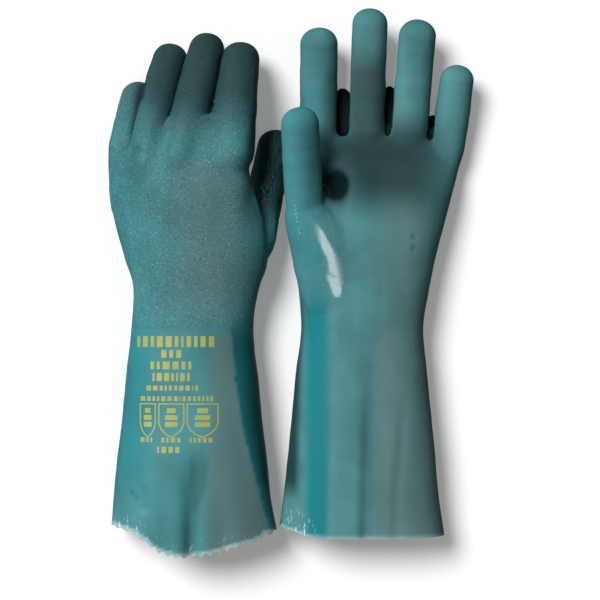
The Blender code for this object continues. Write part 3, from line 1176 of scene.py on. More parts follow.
        points[:, 2] = np.maximum(points[:, 2], 0.0)
        normals = point_normals(points, faces)
        ends = [slice(0, sides)]
        if not closed:
            ends.append(slice((len(distance) - 1) * sides, len(distance) * sides))
        for end in ends:
            normals[end] = digit.onto_surface(self.palm, points[end])[1]
        return Surface(points, faces, normals)

    def fold_zone(self, digit: Digit, fold: float) -> tuple[Array, Array]:
        """Where the bend about a fold starts and ends, so that both rings lie outside it."""
        share_x, share_z = digit.outline(60)
        ends = []
        for distance in (fold - digit.half_zone, fold + digit.half_zone):
            wide, deep = digit.halves(np.array([distance]))
            ring = digit.place(self.palm, np.full(60, distance), share_x * wide, share_z * deep)
            ends.append(ring)
        middles = [ring.mean(axis=0) for ring in ends]
        ahead = unit(middles[1] - middles[0])
        begin = middles[0] + ahead * ((ends[0] - middles[0]) @ ahead).max()
        finish = middles[1] + ahead * ((ends[1] - middles[1]) @ ahead).min()
        return begin + self.shift, finish + self.shift

    # -- pieces ------------------------------------------------------------------------------

    def piece(self, name: str, shell: Shell, material: bpy.types.Material, outer: bool) -> bpy.types.Object:
        """An object of a wall, with its masks and normals.

        Args:
            name: the object's name.
            shell: the wall.
            material: its finish.
            outer: whether it is the skin, which carries masks.

        Returns:
            The object.
        """
        mesh = bpy.data.meshes.new(name)
        mesh.from_pydata((shell.points + self.shift).tolist(), [], shell.faces)
        mesh.polygons.foreach_set("use_smooth", np.ones(len(shell.faces), dtype=bool))
        mesh.normals_split_custom_set([tuple(corner) for corner in shell.corners])
        self.add_masks(mesh, shell.points, outer)
        mesh.materials.append(material)
        thing = bpy.data.objects.new(name, mesh)
        bpy.context.scene.collection.objects.link(thing)
        return thing

    def add_masks(self, mesh: bpy.types.Mesh, points: Array, outer: bool) -> None:
        """Gives a mesh its resting places and, on the skin, its masks."""
        rest = mesh.attributes.new("rest", "FLOAT_VECTOR", "POINT")
        rest.data.foreach_set("vector", points.astype(np.float32).ravel())
        if outer:
            normals = mesh_numbers(mesh)[2]
            for key, values in self.masks(points, normals).items():
                layer = mesh.attributes.new(key, "FLOAT", "POINT")
                layer.data.foreach_set("value", values.astype(np.float32))

    def cut_hem(self, thing: bpy.types.Object) -> None:
        """Cuts the sleeve's edge along both hems, each with a cutter over its own heights."""
        upper, lower = self.hems()
        split, overlap = 0.021, 0.0004
        for index, (hem, low, high) in enumerate(((upper, split, 0.12), (lower, -0.02, split + overlap))):
            line = hem.cutter_line() + self.shift[:2]
            back = self.shift[1] - 0.30
            plan = np.vstack([line, [[line[-1, 0], back], [line[0, 0], back]]])
            count = len(plan)
            points = np.vstack([np.column_stack([plan, np.full(count, z)]) for z in (low, high)])
            faces = outward(points, tube_faces(2, count))
            cutter = link(f"{thing.name}_cutter_{index}", points, faces)
            modifier = thing.modifiers.new("hem", "BOOLEAN")
            modifier.operation = "DIFFERENCE"
            modifier.object = cutter
            for solver in ("EXACT", "MANIFOLD"):
                modifier.solver = solver
                bpy.context.view_layer.update()
                graph = bpy.context.evaluated_depsgraph_get()
                mesh = bpy.data.meshes.new_from_object(thing.evaluated_get(graph))
                if len(mesh.polygons):
                    break
                LOG.info("%s: the %s solver left nothing at the hem", thing.name, solver)
                bpy.data.meshes.remove(mesh)
            else:
                raise ValueError(f"{thing.name} is lost at the hem")
            thing.modifiers.clear()
            old, thing.data = thing.data, mesh
            bpy.data.meshes.remove(old)
            bpy.data.objects.remove(cutter)
        thing.data.name = thing.name

    def sleeve_piece(
        self, name: str, surface: Surface, start: float, wall: float, material: bpy.types.Material
    ) -> bpy.types.Object:
        """A layer of the sleeve, cut along the hem.

        Args:
            name: the object's name.
            surface: the sleeve's outer surface.
            start: how far inside it the layer begins.
            wall: how thick the layer is.
            material: its finish.

        Returns:
            The object.
        """
        shell = Shell.around(surface, start, wall)
        thing = link(name, shell.points + self.shift, shell.faces)
        self.cut_hem(thing)
        mesh = thing.data
        points = mesh_numbers(mesh)[0] - self.shift
        mesh.polygons.foreach_set("use_smooth", np.ones(len(mesh.polygons), dtype=bool))
        mesh.set_sharp_from_angle(angle=math.radians(50))
        rim = sorted({corner for edge in surface.edges_open() for corner in edge})
        rim = [corner for corner in rim if abs(surface.points[corner, 1] - self.zone[0]) < 1e-4]
        count = len(surface.points)
        tree = KDTree(2 * len(rim))
        targets = []
        for side, offset in ((1.0, 0), (-1.0, count)):
            for corner in rim:
                tree.insert(shell.points[corner + offset], len(targets))
                targets.append(surface.normals[corner] * side)
        tree.balance()
        corners = []
        for face in mesh.polygons:
            across = abs(face.normal.y) > 0.9
            for corner in face.vertices:
                wanted = (0.0, 0.0, 0.0)
                if not across and abs(points[corner, 1] - self.zone[0]) < 2e-4:
                    _, index, gap = tree.find(points[corner])
                    if gap < 1e-4 and Vector(targets[index]).dot(face.normal) > 0.3:
                        wanted = tuple(targets[index])
                corners.append(wanted)
        mesh.normals_split_custom_set(corners)
        self.add_masks(mesh, points, start == 0.0)
        mesh.materials.clear()
        mesh.materials.append(material)
        return thing

    def bend_at_wrist(self, thing: bpy.types.Object) -> None:
        """Bakes a piece's place into its mesh."""
        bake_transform(thing)

    def settle(self, thing: bpy.types.Object, node: str) -> None:
        """Hides the node that the piece stands for, and logs which node that is."""
        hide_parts(node)
        LOG.info("%s: %d faces, for %s", thing.name, len(thing.data.polygons), node)

    def build(self, skin_finish: bpy.types.Material, knit: bpy.types.Material) -> None:
        """Builds every piece of the glove.

        Args:
            skin_finish: the finish of the dipped skin.
            knit: the finish of the liner.
        """
        self.whole_surface = self.whole()
        sleeve, hand = self.part_surface(self.whole_surface)
        layers = (("coat", 0.0, COAT_WALL, skin_finish), ("liner", LINER_START, LINER_WALL, knit))
        for layer, inset, wall, finish in layers:
            node = f"{self.name}_sleeve_{layer}"
            thing = self.sleeve_piece(f"{node}_skin", sleeve, inset, wall, finish)
            self.settle(thing, node)
            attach(thing, f"{self.name}_sleeve")
            node = f"{self.name}_hand_{layer}"
            thing = self.piece(f"{node}_skin", Shell.around(hand, inset, wall), finish, inset == 0.0)
            self.settle(thing, node)
            self.bend_at_wrist(thing)
        for digit in self.digits:
            cuts = [fold - digit.half_zone for fold in digit.folds]
            base = self.digit_surface(digit, cuts[0], cuts[1], False)
            tip = self.digit_surface(digit, cuts[1], digit.length, True)
            for stretch, surface, fold in (("base", base, digit.folds[0]), ("tip", tip, digit.folds[1])):
                body = f"{self.name}_{digit.name}_{stretch}"
                begin, finish_at = self.fold_zone(digit, fold)
                for layer, inset, wall, finish in layers:
                    shell = Shell.around(surface, inset, wall)
                    thing = self.piece(f"{body}_{layer}_skin", shell, finish, inset == 0.0)
                    self.settle(thing, f"{body}_{layer}")
                    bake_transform(thing)

    def tree(self) -> BVHTree:
        """A search tree of the whole outer surface."""
        return BVHTree.FromPolygons(self.whole_surface.points.tolist(), self.whole_surface.faces)


@dataclass
class PalmDownGlove(Glove):
    """The glove that lies on its palm, with its printed sleeve and pinked hem."""

    name: str = "palmdown"
    palm: Palm = Palm.DOWN
    wrist: tuple[float, float, float] = (-0.0805, -0.0210, 0.0275)
    slant: float = 0.36

    def stations_table(self) -> tuple[Station, ...]:
        """The cross-sections, from beyond the hem to the knuckles."""
        return (
            Station(-0.2050, -0.1428, -0.0078, 0.000, 0.060),
            Station(-0.1700, -0.1400, -0.0168, 0.000, 0.060),
            Station(-0.1500, -0.1380, -0.0208, 0.000, 0.060),
            Station(-0.1125, -0.1342, -0.0246, 0.000, 0.059),
            Station(-0.0750, -0.1304, -0.0290, 0.000, 0.057),
            Station(-0.0210, -0.1246, -0.0342, 0.000, 0.055),
            Station(0.0075, -0.1230, -0.0304, 0.002, 0.056),
            Station(0.0300, -0.1290, -0.0240, 0.007, 0.060, 0.002),
            Station(0.0560, -0.1352, -0.0270, 0.015, 0.065, 0.004),
            Station(0.0750, -0.1376, -0.0330, 0.022, 0.069, 0.007),
            Station(0.0950, -0.1372, -0.0390, 0.032, 0.071, 0.009, (0.003, 0.000)),
            Station(0.1150, -0.1366, -0.0410, 0.042, 0.070, 0.010, (0.004, 0.000)),
            Station(0.1285, -0.1340, -0.0460, 0.050, 0.066, 0.010, (0.006, 0.006)),
        )

    def digits_table(self) -> tuple[Digit, ...]:
        """The digits."""
        return (
            Digit(
                "index", (-0.0500, 0.104, 0.062), 3.5, 4.0, 72.0, 0.106, 0.0275, 0.026, (0.047, 0.075),
                tip_at=0.0965, root_fullness=1.24, tip_fullness=1.02, sway=-0.0020,
            ),
            Digit(
                "middle", (-0.0868, 0.102, 0.060), 10.0, 3.0, 66.0, 0.117, 0.0265, 0.026, (0.048, 0.079),
                tip_at=0.1085, root_fullness=1.12, tip_fullness=0.99, sway=-0.0036,
            ),
            Digit(
                "ring", (-0.1142, 0.095, 0.0555), 10.5, 1.0, 58.0, 0.109, 0.0265, 0.025, (0.048, 0.075),
                root_fullness=1.02, tip_fullness=0.96, sway=-0.0022,
            ),
            Digit(
                "little", (-0.1380, 0.078, 0.0395), 5.0, 0.0, 46.0, 0.092, 0.0245, 0.023, (0.050, 0.068),
                sway=-0.0118, taper=(0.30, 0.040), root_fullness=1.0, tip_fullness=0.97,
            ),
            Digit(
                "thumb", (-0.0330, 0.040, 0.029), 9.8, -10.0, 6.0, 0.090, 0.0300, 0.026, (0.040, 0.064),
                -35.0,
            ),
        )

    def swellings(self) -> tuple[Blob, ...]:
        """The knuckles, which carry the back of the hand into the fingers."""
        return (
            Blob((-0.0500, 0.1080, 0.0610), (0.0125, 0.0230, 0.0125), 3.5),
            Blob((-0.0845, 0.1060, 0.0590), (0.0120, 0.0230, 0.0130), 10.0),
            Blob((-0.1130, 0.0970, 0.0530), (0.0120, 0.0210, 0.0130), 10.0),
            Blob((-0.1305, 0.0840, 0.0440), (0.0095, 0.0180, 0.0120), 5.0),
            Blob((-0.0682, 0.1320, 0.0455), (0.0090, 0.0160, 0.0060), 6.0),
        )

    def grooves(self) -> tuple[Groove, ...]:
        """The creases and ridges of palm and sleeve."""
        return (
            Groove(
                (
                    (-0.0750, -0.0950), (-0.0765, -0.1150), (-0.0782, -0.1350), (-0.0792, -0.1570),
                    (-0.0800, -0.2060),
                ),
                (0.0075, 0.0034), (0.0008, 0.0056), (0.02, 0.50), soft=(0.55, 0.0),
            ),
            Groove(
                (
                    (-0.0475, -0.0181), (-0.0460, -0.0297), (-0.0425, -0.0609), (-0.0375, -0.0978),
                    (-0.0305, -0.1253), (-0.0230, -0.1586), (-0.0200, -0.206),
                ),
                (0.0055, 0.0055), (-0.0012, -0.0020), soft=(0.3, 0.0),
            ),
            Groove(
                ((-0.1246, -0.1376), (-0.1210, -0.1427), (-0.1159, -0.1471)), (0.0016, 0.0016),
                (0.0009, 0.0009), (0.35, 0.25),
            ),
            Groove(
                ((-0.1150, -0.1330), (-0.1130, -0.1440), (-0.1135, -0.1560)), (0.0035, 0.0035),
                (0.0010, 0.0012), (0.05, 0.05),
            ),
            Groove(
                ((-0.100, -0.1200), (-0.0985, -0.1500), (-0.0990, -0.2050)), (0.0100, 0.0120),
                (0.0008, 0.0022), soft=(0.5, 0.0),
            ),
            Groove(
                ((-0.0575, -0.1400), (-0.0560, -0.1600), (-0.0555, -0.2050)), (0.0060, 0.0070),
                (0.0005, 0.0016), soft=(0.5, 0.0),
            ),
            Groove(
                ((-0.0640, 0.1330), (-0.0670, 0.1210), (-0.0720, 0.1080)), (0.0050, 0.0075),
                (0.0030, 0.0006), (0.25, 0.05), soft=(0.0, 0.7),
            ),
            Groove(
                ((-0.0960, 0.1240), (-0.0985, 0.1130), (-0.1020, 0.1010)), (0.0050, 0.0075),
                (0.0030, 0.0006), (0.30, 0.05), soft=(0.0, 0.7),
            ),
            Groove(
                ((-0.1180, 0.1110), (-0.1215, 0.1010), (-0.1265, 0.0900)), (0.0045, 0.0065),
                (0.0030, 0.0006), (0.35, 0.05), soft=(0.0, 0.7),
            ),
            Groove(
                ((-0.1330, 0.0900), (-0.1230, 0.0930), (-0.1140, 0.0930)), (0.0035, 0.0035),
                (0.0008, 0.0008), (0.16, 0.16),
            ),
            Groove(
                ((-0.0350, 0.0850), (-0.0330, 0.0640), (-0.0340, 0.0420)), (0.0080, 0.0080),
                (0.0030, 0.0020), (0.1, 0.1), soft=(0.3, 0.5),
            ),
        )

    def hems(self) -> tuple[Hem, Hem]:
        """The cut edges of the upper and the lower side."""
        upper = Hem(
            (
                (-0.1420, -0.1644), (-0.1376, -0.1659), (-0.1253, -0.1688), (-0.1123, -0.1760),
                (-0.1021, -0.1840), (-0.0877, -0.1876), (-0.0804, -0.1874), (-0.0724, -0.1869),
                (-0.0594, -0.1840), (-0.0442, -0.1797), (-0.0290, -0.1753), (-0.0268, -0.1720),
                (-0.0167, -0.1712), (-0.0116, -0.1710),
            ),
            0.0062, 0.0032, -0.1085,
        )
        lower = Hem(((-0.1450, -0.1650), (-0.0800, -0.1690), (-0.0110, -0.1712)), 0.0062, 0.0018, -0.30)
        return upper, lower

    def masks(self, points: Array, normals: Array) -> dict[str, Array]:
        """The finish's masks at points of the outer surface."""
        x, y, _ = points.T
        upper, _ = self.hems()
        rim = np.abs(y - upper.edge(x))
        top = between(-0.1, 0.3, normals[:, 2])
        wear = (1 - between(0.002, 0.016, rim)) * top * (1 - between(-0.118, -0.104, x))
        wear = wear + 0.25 * (1 - between(0.004, 0.02, rim)) * top
        border = -0.0200 + 0.0012 * cloud(points, 120.0, 2.0)
        grip = between(-0.0016, 0.0016, y - border)
        # painted shade: the strip down the sleeve's right side is painted darker and a more saturated teal
        strip = self.shaded_side_strip(points)
        lower = 1 - between(-0.035, -0.005, y)
        # painted light and shade: the dust masks paint a greyer tone on the back of the hand, the sleeve's
        # lower right and the fingertips
        dust = 0.75 * bell(-0.066, 0.030, x) * window((-0.040, 0.02), (0.085, 0.115), y)
        dust += 0.4 * np.exp(-(((x + 0.088) / 0.020) ** 2 + ((y - 0.128) / 0.007) ** 2))
        grey_lighting_low = 0.85 * between(-0.073, -0.058, x) * (1 - strip) * (1 - between(-0.03, -0.02, y))
        grey_lighting_tips = 0.6 * between(0.12, 0.17, y)
        # painted light: the sleeve's lit left side is painted a more saturated teal
        teal_edge = 0.5 * (1 - between(-0.118, -0.095, x)) * window((-0.15, -0.11), (-0.03, 0.0), y)
        # painted shade: crease_shade, the right-side strip and dark_places darken the skin through the fold
        # mask
        darkness = (self.crease_shade(points, normals), 0.56 * strip * lower)
        return {
            "grip": grip,
            "fold": np.maximum.reduce(darkness + self.dark_places(points, normals)),
            "wear": np.clip(wear, 0, 1),
            "edge": (1 - between(0.0030, 0.0050, rim)) * top * 0.6,
            "dust": np.maximum(np.maximum(dust * (1 - strip * lower), grey_lighting_low), grey_lighting_tips),
            "crinkle": grip * 0.5,
            "teal": np.maximum(strip * lower, teal_edge),
            "gloss": np.zeros(len(points)),
        }

    def shaded_side_strip(self, points: Array) -> Array:
        """The sleeve's right-side strip, painted darker and more teal as shade, with its torn border."""
        x, y, _ = points.T
        places = (-0.170, -0.157, -0.118, -0.0946, -0.065, -0.0295)
        border = np.interp(y, places, (-0.0215, -0.0260, -0.0364, -0.0422, -0.0470, -0.0509))
        return between(0.0, 0.0018, 0.0016 * cloud(points, 260.0, 5.0) + x - border)

    def dark_places(self, points: Array, normals: Array) -> tuple[Array, ...]:
        """The parts that lie in shade: thumb, fingers, their sides, the gaps, and the sleeve's wedge."""
        x, y, z = points.T
        distance, _, _ = self.digits[4].locate(self.palm, points)
        thumb = between(0.010, 0.034, distance) * between(-0.036, -0.028, x) * (z < 0.05)
        fingers = between(0.100, 0.155, y) * between(-0.150, -0.10, x)
        right_side = between(0.30, 0.95, normals[:, 0]) * between(0.05, 0.11, y)
        low = z < 0.053
        ring_edge = np.interp(y, (0.100, 0.107, 0.148, 0.165), (-0.1196, -0.1192, -0.1172, -0.1150))
        beside = x - ring_edge
        tucked = between(-0.0090, -0.0015, beside) * (beside < 0.004) * low
        tucked = tucked * window((0.103, 0.110), (0.158, 0.166), y)
        web = bell(-0.0665, 0.0070, x, 4) * window((0.1325, 0.1350), (0.149, 0.152), y) * low
        places = (-0.1870, -0.1570, -0.1350, -0.1180, -0.1080)
        right = np.interp(y, places, (-0.0775, -0.0763, -0.0670, -0.0662, -0.0690))
        wedge = between(-0.0820, -0.0775, x) * (1 - between(right - 0.0030, right + 0.0020, x))
        wedge = wedge * (1 - between(-0.126, -0.102, y))
        return 0.80 * thumb, 0.74 * fingers, 0.84 * right_side, 0.88 * tucked, web, 0.42 * wedge


@dataclass
class PalmUpGlove(Glove):
    """The glove that lies on its back, with its plain cut hem and a seam along the thumb's side."""

    name: str = "palmup"
    palm: Palm = Palm.UP
    wrist: tuple[float, float, float] = (0.0461, -0.0210, 0.0275)

    def stations_table(self) -> tuple[Station, ...]:
        """The cross-sections, from beyond the hem to the knuckles."""
        return (
            Station(-0.2050, -0.0210, 0.1112, 0.000, 0.060),
            Station(-0.1700, -0.0158, 0.1060, 0.000, 0.060),
            Station(-0.1500, -0.0128, 0.1030, 0.000, 0.060),
            Station(-0.1125, -0.0088, 0.1000, 0.000, 0.059),
            Station(-0.0750, -0.0054, 0.0956, 0.000, 0.057),
            Station(-0.0480, -0.0026, 0.0934, 0.000, 0.056),
            Station(-0.0210, 0.0007, 0.0915, 0.000, 0.055),
            Station(0.0075, -0.0010, 0.0953, 0.000, 0.055),
            Station(0.0300, -0.0055, 0.0998, 0.000, 0.055),
            Station(0.0525, -0.0050, 0.1058, 0.000, 0.052),
            Station(0.0750, -0.0025, 0.1118, 0.000, 0.049),
            Station(0.0950, -0.0010, 0.1170, 0.000, 0.041, 0.0, (0.000, 0.003)),
            Station(0.1100, 0.0000, 0.1195, 0.000, 0.033, 0.0, (0.000, 0.007)),
            Station(0.1210, 0.0020, 0.1185, 0.003, 0.027, 0.0, (0.001, 0.010)),
        )

    def digits_table(self) -> tuple[Digit, ...]:
        """The digits."""
        return (
            Digit(
                "index", (0.0135, 0.105, 0.018), 0.4, 2.0, 16.0, 0.099, 0.0285, 0.025, (0.0605, 0.0805),
                tip_at=0.0965, root_fullness=1.0, tip_fullness=0.96,
            ),
            Digit(
                "middle", (0.0490, 0.105, 0.018), 1.4, 2.0, 16.0, 0.116, 0.0262, 0.025, (0.0625, 0.0865),
                tip_at=0.1112, root_fullness=1.04, tip_fullness=0.99,
            ),
            Digit(
                "ring", (0.0793, 0.105, 0.018), 4.6, 2.0, 16.0, 0.107, 0.0280, 0.025, (0.0625, 0.0840),
                tip_at=0.1025, root_fullness=1.0, tip_fullness=0.965,
            ),
            Digit(
                "little", (0.1080, 0.095, 0.017), 6.5, 2.0, 16.0, 0.082, 0.0262, 0.024, (0.0490, 0.0665),
                tip_at=0.0795, root_fullness=1.0, tip_fullness=0.95, taper=(0.55, 0.022),
            ),
            Digit(
                "thumb", (0.0080, 0.040, 0.036), -9.0, 15.0, 14.0, 0.105, 0.0305, 0.027, (0.0480, 0.0760),
                35.0,
            ),
        )

    def swellings(self) -> tuple[Blob, ...]:
        """The ball of the thumb, the heel of the hand and the webs between the fingers."""
        ball = (
            ((0.0036, 0.0670, 0.0440), (0.0150, 0.0100, 0.0140)),
            ((0.0066, 0.0595, 0.0425), (0.0176, 0.0150, 0.0152)),
            ((0.0120, 0.0500, 0.0410), (0.0215, 0.0200, 0.0160)),
            ((0.0180, 0.0390, 0.0400), (0.0250, 0.0250, 0.0160)),
            ((0.0225, 0.0260, 0.0395), (0.0270, 0.0300, 0.0158)),
            ((0.0260, 0.0080, 0.0390), (0.0260, 0.0320, 0.0152)),
        )
        webs = (
            ((0.0315, 0.1335, 0.0068), (0.0115, 0.0255, 0.0058), 1.0),
            ((0.0656, 0.1340, 0.0068), (0.0115, 0.0270, 0.0058), 3.0),
            ((0.0979, 0.1175, 0.0068), (0.0115, 0.0215, 0.0058), 6.0),
        )
        rows = np.array([middle + radii for middle, radii in ball])
        finer = through(np.arange(len(rows), dtype=float), rows, np.linspace(0.0, len(rows) - 1.0, 21))
        chain = tuple(Blob(tuple(row[:3]), tuple(row[3:]), -10.0) for row in finer.tolist())
        return chain + tuple(Blob(*web) for web in webs)

    def grooves(self) -> tuple[Groove, ...]:
        """The creases and ridges of palm and sleeve."""
        return (
            Groove(
                ((0.0640, 0.1060), (0.0600, 0.0850), (0.0560, 0.0540)), (0.0220, 0.0200), (0.0040, 0.0026),
                soft=(0.3, 0.4),
            ),
            Groove(
                ((0.0290, 0.1010), (0.0270, 0.0860), (0.0310, 0.0700)), (0.0120, 0.0100), (0.0046, 0.0030),
                (0.15, 0.05), soft=(0.3, 0.5),
            ),
            Groove(
                ((0.0514, -0.0380), (0.0493, -0.0942), (0.0478, -0.1304), (0.0474, -0.2050)),
                (0.0040, 0.0042), (0.0012, 0.0030), (0.05, 0.22), soft=(0.4, 0.0),
            ),
            Groove(
                ((0.0768, -0.0600), (0.0739, -0.0978), (0.0700, -0.1400), (0.0690, -0.2050)),
                (0.0035, 0.0040), (0.0006, 0.0009), (0.04, 0.08), soft=(0.3, 0.0),
            ),
            Groove(
                ((0.0250, -0.0300), (0.0230, -0.0900), (0.0195, -0.1500), (0.0180, -0.2050)),
                (0.0030, 0.0040), (0.0006, 0.0012), (0.02, 0.05), soft=(0.2, 0.0),
            ),
            Groove(
                ((0.0090, -0.0300), (0.0060, -0.0900), (0.0035, -0.2050)), (0.0040, 0.0050),
                (-0.0008, -0.0014), soft=(0.2, 0.0),
            ),
            Groove(
                ((0.0830, 0.0480), (0.0830, 0.0459), (0.0834, 0.0440)), (0.0016, 0.0016), (0.0009, 0.0009),
                (0.30, 0.30),
            ),
            Groove(
                ((0.0830, 0.0395), (0.0830, 0.0379), (0.0826, 0.0360)), (0.0016, 0.0016), (0.0009, 0.0009),
                (0.30, 0.30),
            ),
            Groove(
                ((0.1000, 0.1020), (0.1051, 0.1046), (0.1105, 0.1010)), (0.0010, 0.0010), (0.0006, 0.0006),
                (0.05, 0.05),
            ),
            Groove(
                ((0.0170, 0.0180), (0.0330, 0.0120), (0.0480, 0.0150)), (0.0025, 0.0030), (0.0005, 0.0004),
            ),
            Groove(
                ((0.0290, 0.0400), (0.0420, 0.0330), (0.0560, 0.0340)), (0.0025, 0.0030), (0.0006, 0.0004),
            ),
            Groove(
                (
                    (-0.0045, 0.0700), (-0.0015, 0.0475), (0.0045, 0.0029), (0.0075, -0.0110),
                    (0.0120, -0.0402),
                ),
                (0.0014, 0.0014), (-0.0008, -0.0005), soft=(0.1, 0.3),
            ),
        )

    def hems(self) -> tuple[Hem, Hem]:
        """The cut edges of the upper and the lower side."""
        upper = Hem(
            (
                (-0.0230, -0.1640), (-0.0154, -0.1655), (-0.0029, -0.1690), (0.0110, -0.1725),
                (0.0220, -0.1730), (0.0800, -0.1730), (0.1120, -0.1728),
            )
        )
        lower = Hem(((-0.0230, -0.1640), (0.0200, -0.1700), (0.1120, -0.1728)))
        return upper, lower

    def masks(self, points: Array, normals: Array) -> dict[str, Array]:
        """The finish's masks at points of the outer surface."""
        x, y, _ = points.T
        upper, _ = self.hems()
        rim = np.abs(y - upper.edge(x))
        top = between(-0.1, 0.3, normals[:, 2])
        # painted shade: the lower half of the middle finger is painted darker and greyer
        shaded_middle_finger = bell(0.0510, 0.0150, x, 6) * window((0.11, 0.13), (0.160, 0.196), y)
        # painted light and shade: the dust masks paint a greyer tone on the sleeve's right side and the
        # middle of the palm
        dust = 0.60 * bell(0.080, 0.022, x) * (1 - between(0.06, 0.13, y))
        dust += 0.75 * np.exp(-(((x - 0.060) / 0.032) ** 2 + ((y - 0.110) / 0.028) ** 2))
        grey_lighting_side = 0.75 * between(0.052, 0.060, x) * (1 - between(-0.035, 0.0, y))
        # painted light and shade: a band of the sleeve painted a more saturated and slightly darker teal,
        # and the left of the thumb a more saturated teal
        band = bell(0.0125, 0.0085, x, 4) * (1 - between(-0.02, 0.03, y))
        thumb_teal = 0.30 * (1 - between(0.012, 0.020, x)) * window((0.0, 0.03), (0.15, 0.16), y)
        thumb_ball = bell(0.022, 0.014, x) * window((-0.03, 0.01), (0.06, 0.08), y)
        ridge = x - np.interp(y, (0.000, 0.0045, 0.0340, 0.0620), (0.0285, 0.0270, 0.0205, 0.0153))
        # painted shade: crease_shade, the middle finger, the band and dark_places darken the skin through
        # the fold mask
        darkness = (self.crease_shade(points, normals), 0.62 * shaded_middle_finger, 0.24 * band)
        return {
            "grip": 0.12 * between(-0.02, 0.0, y),
            "fold": np.maximum.reduce(darkness + self.dark_places(points, normals)),
            "wear": (1 - between(0.003, 0.020, rim)) * (1 - between(0.000, 0.014, x)) * top,
            "edge": (1 - between(0.0010, 0.0025, rim)) * top * 0.4,
            "dust": np.maximum.reduce((dust, 0.7 * shaded_middle_finger, grey_lighting_side)),
            "crinkle": 0.18 + 0.82 * thumb_ball,
            "teal": np.maximum(band, thumb_teal),
            "gloss": bell(0.0, 0.0042, ridge) * window((-0.004, 0.006), (0.045, 0.068), y),
        }

    def dark_places(self, points: Array, normals: Array) -> tuple[Array, ...]:
        """The parts that lie in shade: hollows of the palm, webs, finger and sleeve edges."""
        x, y, z = points.T
        up = normals[:, 2]
        uneven = 1 + 0.45 * cloud(points, 75.0, 4.0)
        by_thumb = np.exp(-uneven * (((x - 0.0255) / 0.0130) ** 2 + ((y - 0.0838) / 0.0135) ** 2))
        hollow = np.clip(1.45 * by_thumb, 0, 1) * between(-0.1, 0.5, up) * (z < 0.052)
        webs = between(0.110, 0.120, y) * (z < 0.0140) * between(-0.2, 0.5, up)
        for gap, crotch in ((0.0313, 0.1165), (0.0648, 0.1180), (0.0962, 0.1110)):
            between_fingers = bell(gap, 0.0062, x, 4) * between(crotch - 0.001, crotch + 0.003, y)
            webs = np.maximum(webs, between_fingers * (z < 0.024))
        border = np.interp(y, (-0.15, -0.09, 0.0), (-0.0025, -0.0015, 0.0025))
        left = (1 - between(-0.003, 0.004, x - border)) * window((-0.150, -0.130), (-0.02, 0.01), y)
        palm_hollow = bell(0.0650, 0.042, x, 4) * bell(0.1000, 0.034, y, 4) * between(0.2, 0.7, up)
        index_side = window((0.012, 0.022), (0.030, 0.034), x) * window((0.11, 0.13), (0.160, 0.175), y)
        crease_side = bell(0.0485, 0.0065, x) * (1 - between(-0.06, -0.03, y))
        return 1.1 * hollow, webs, 0.80 * left, 0.80 * palm_hollow, 0.35 * index_side, 0.30 * crease_side


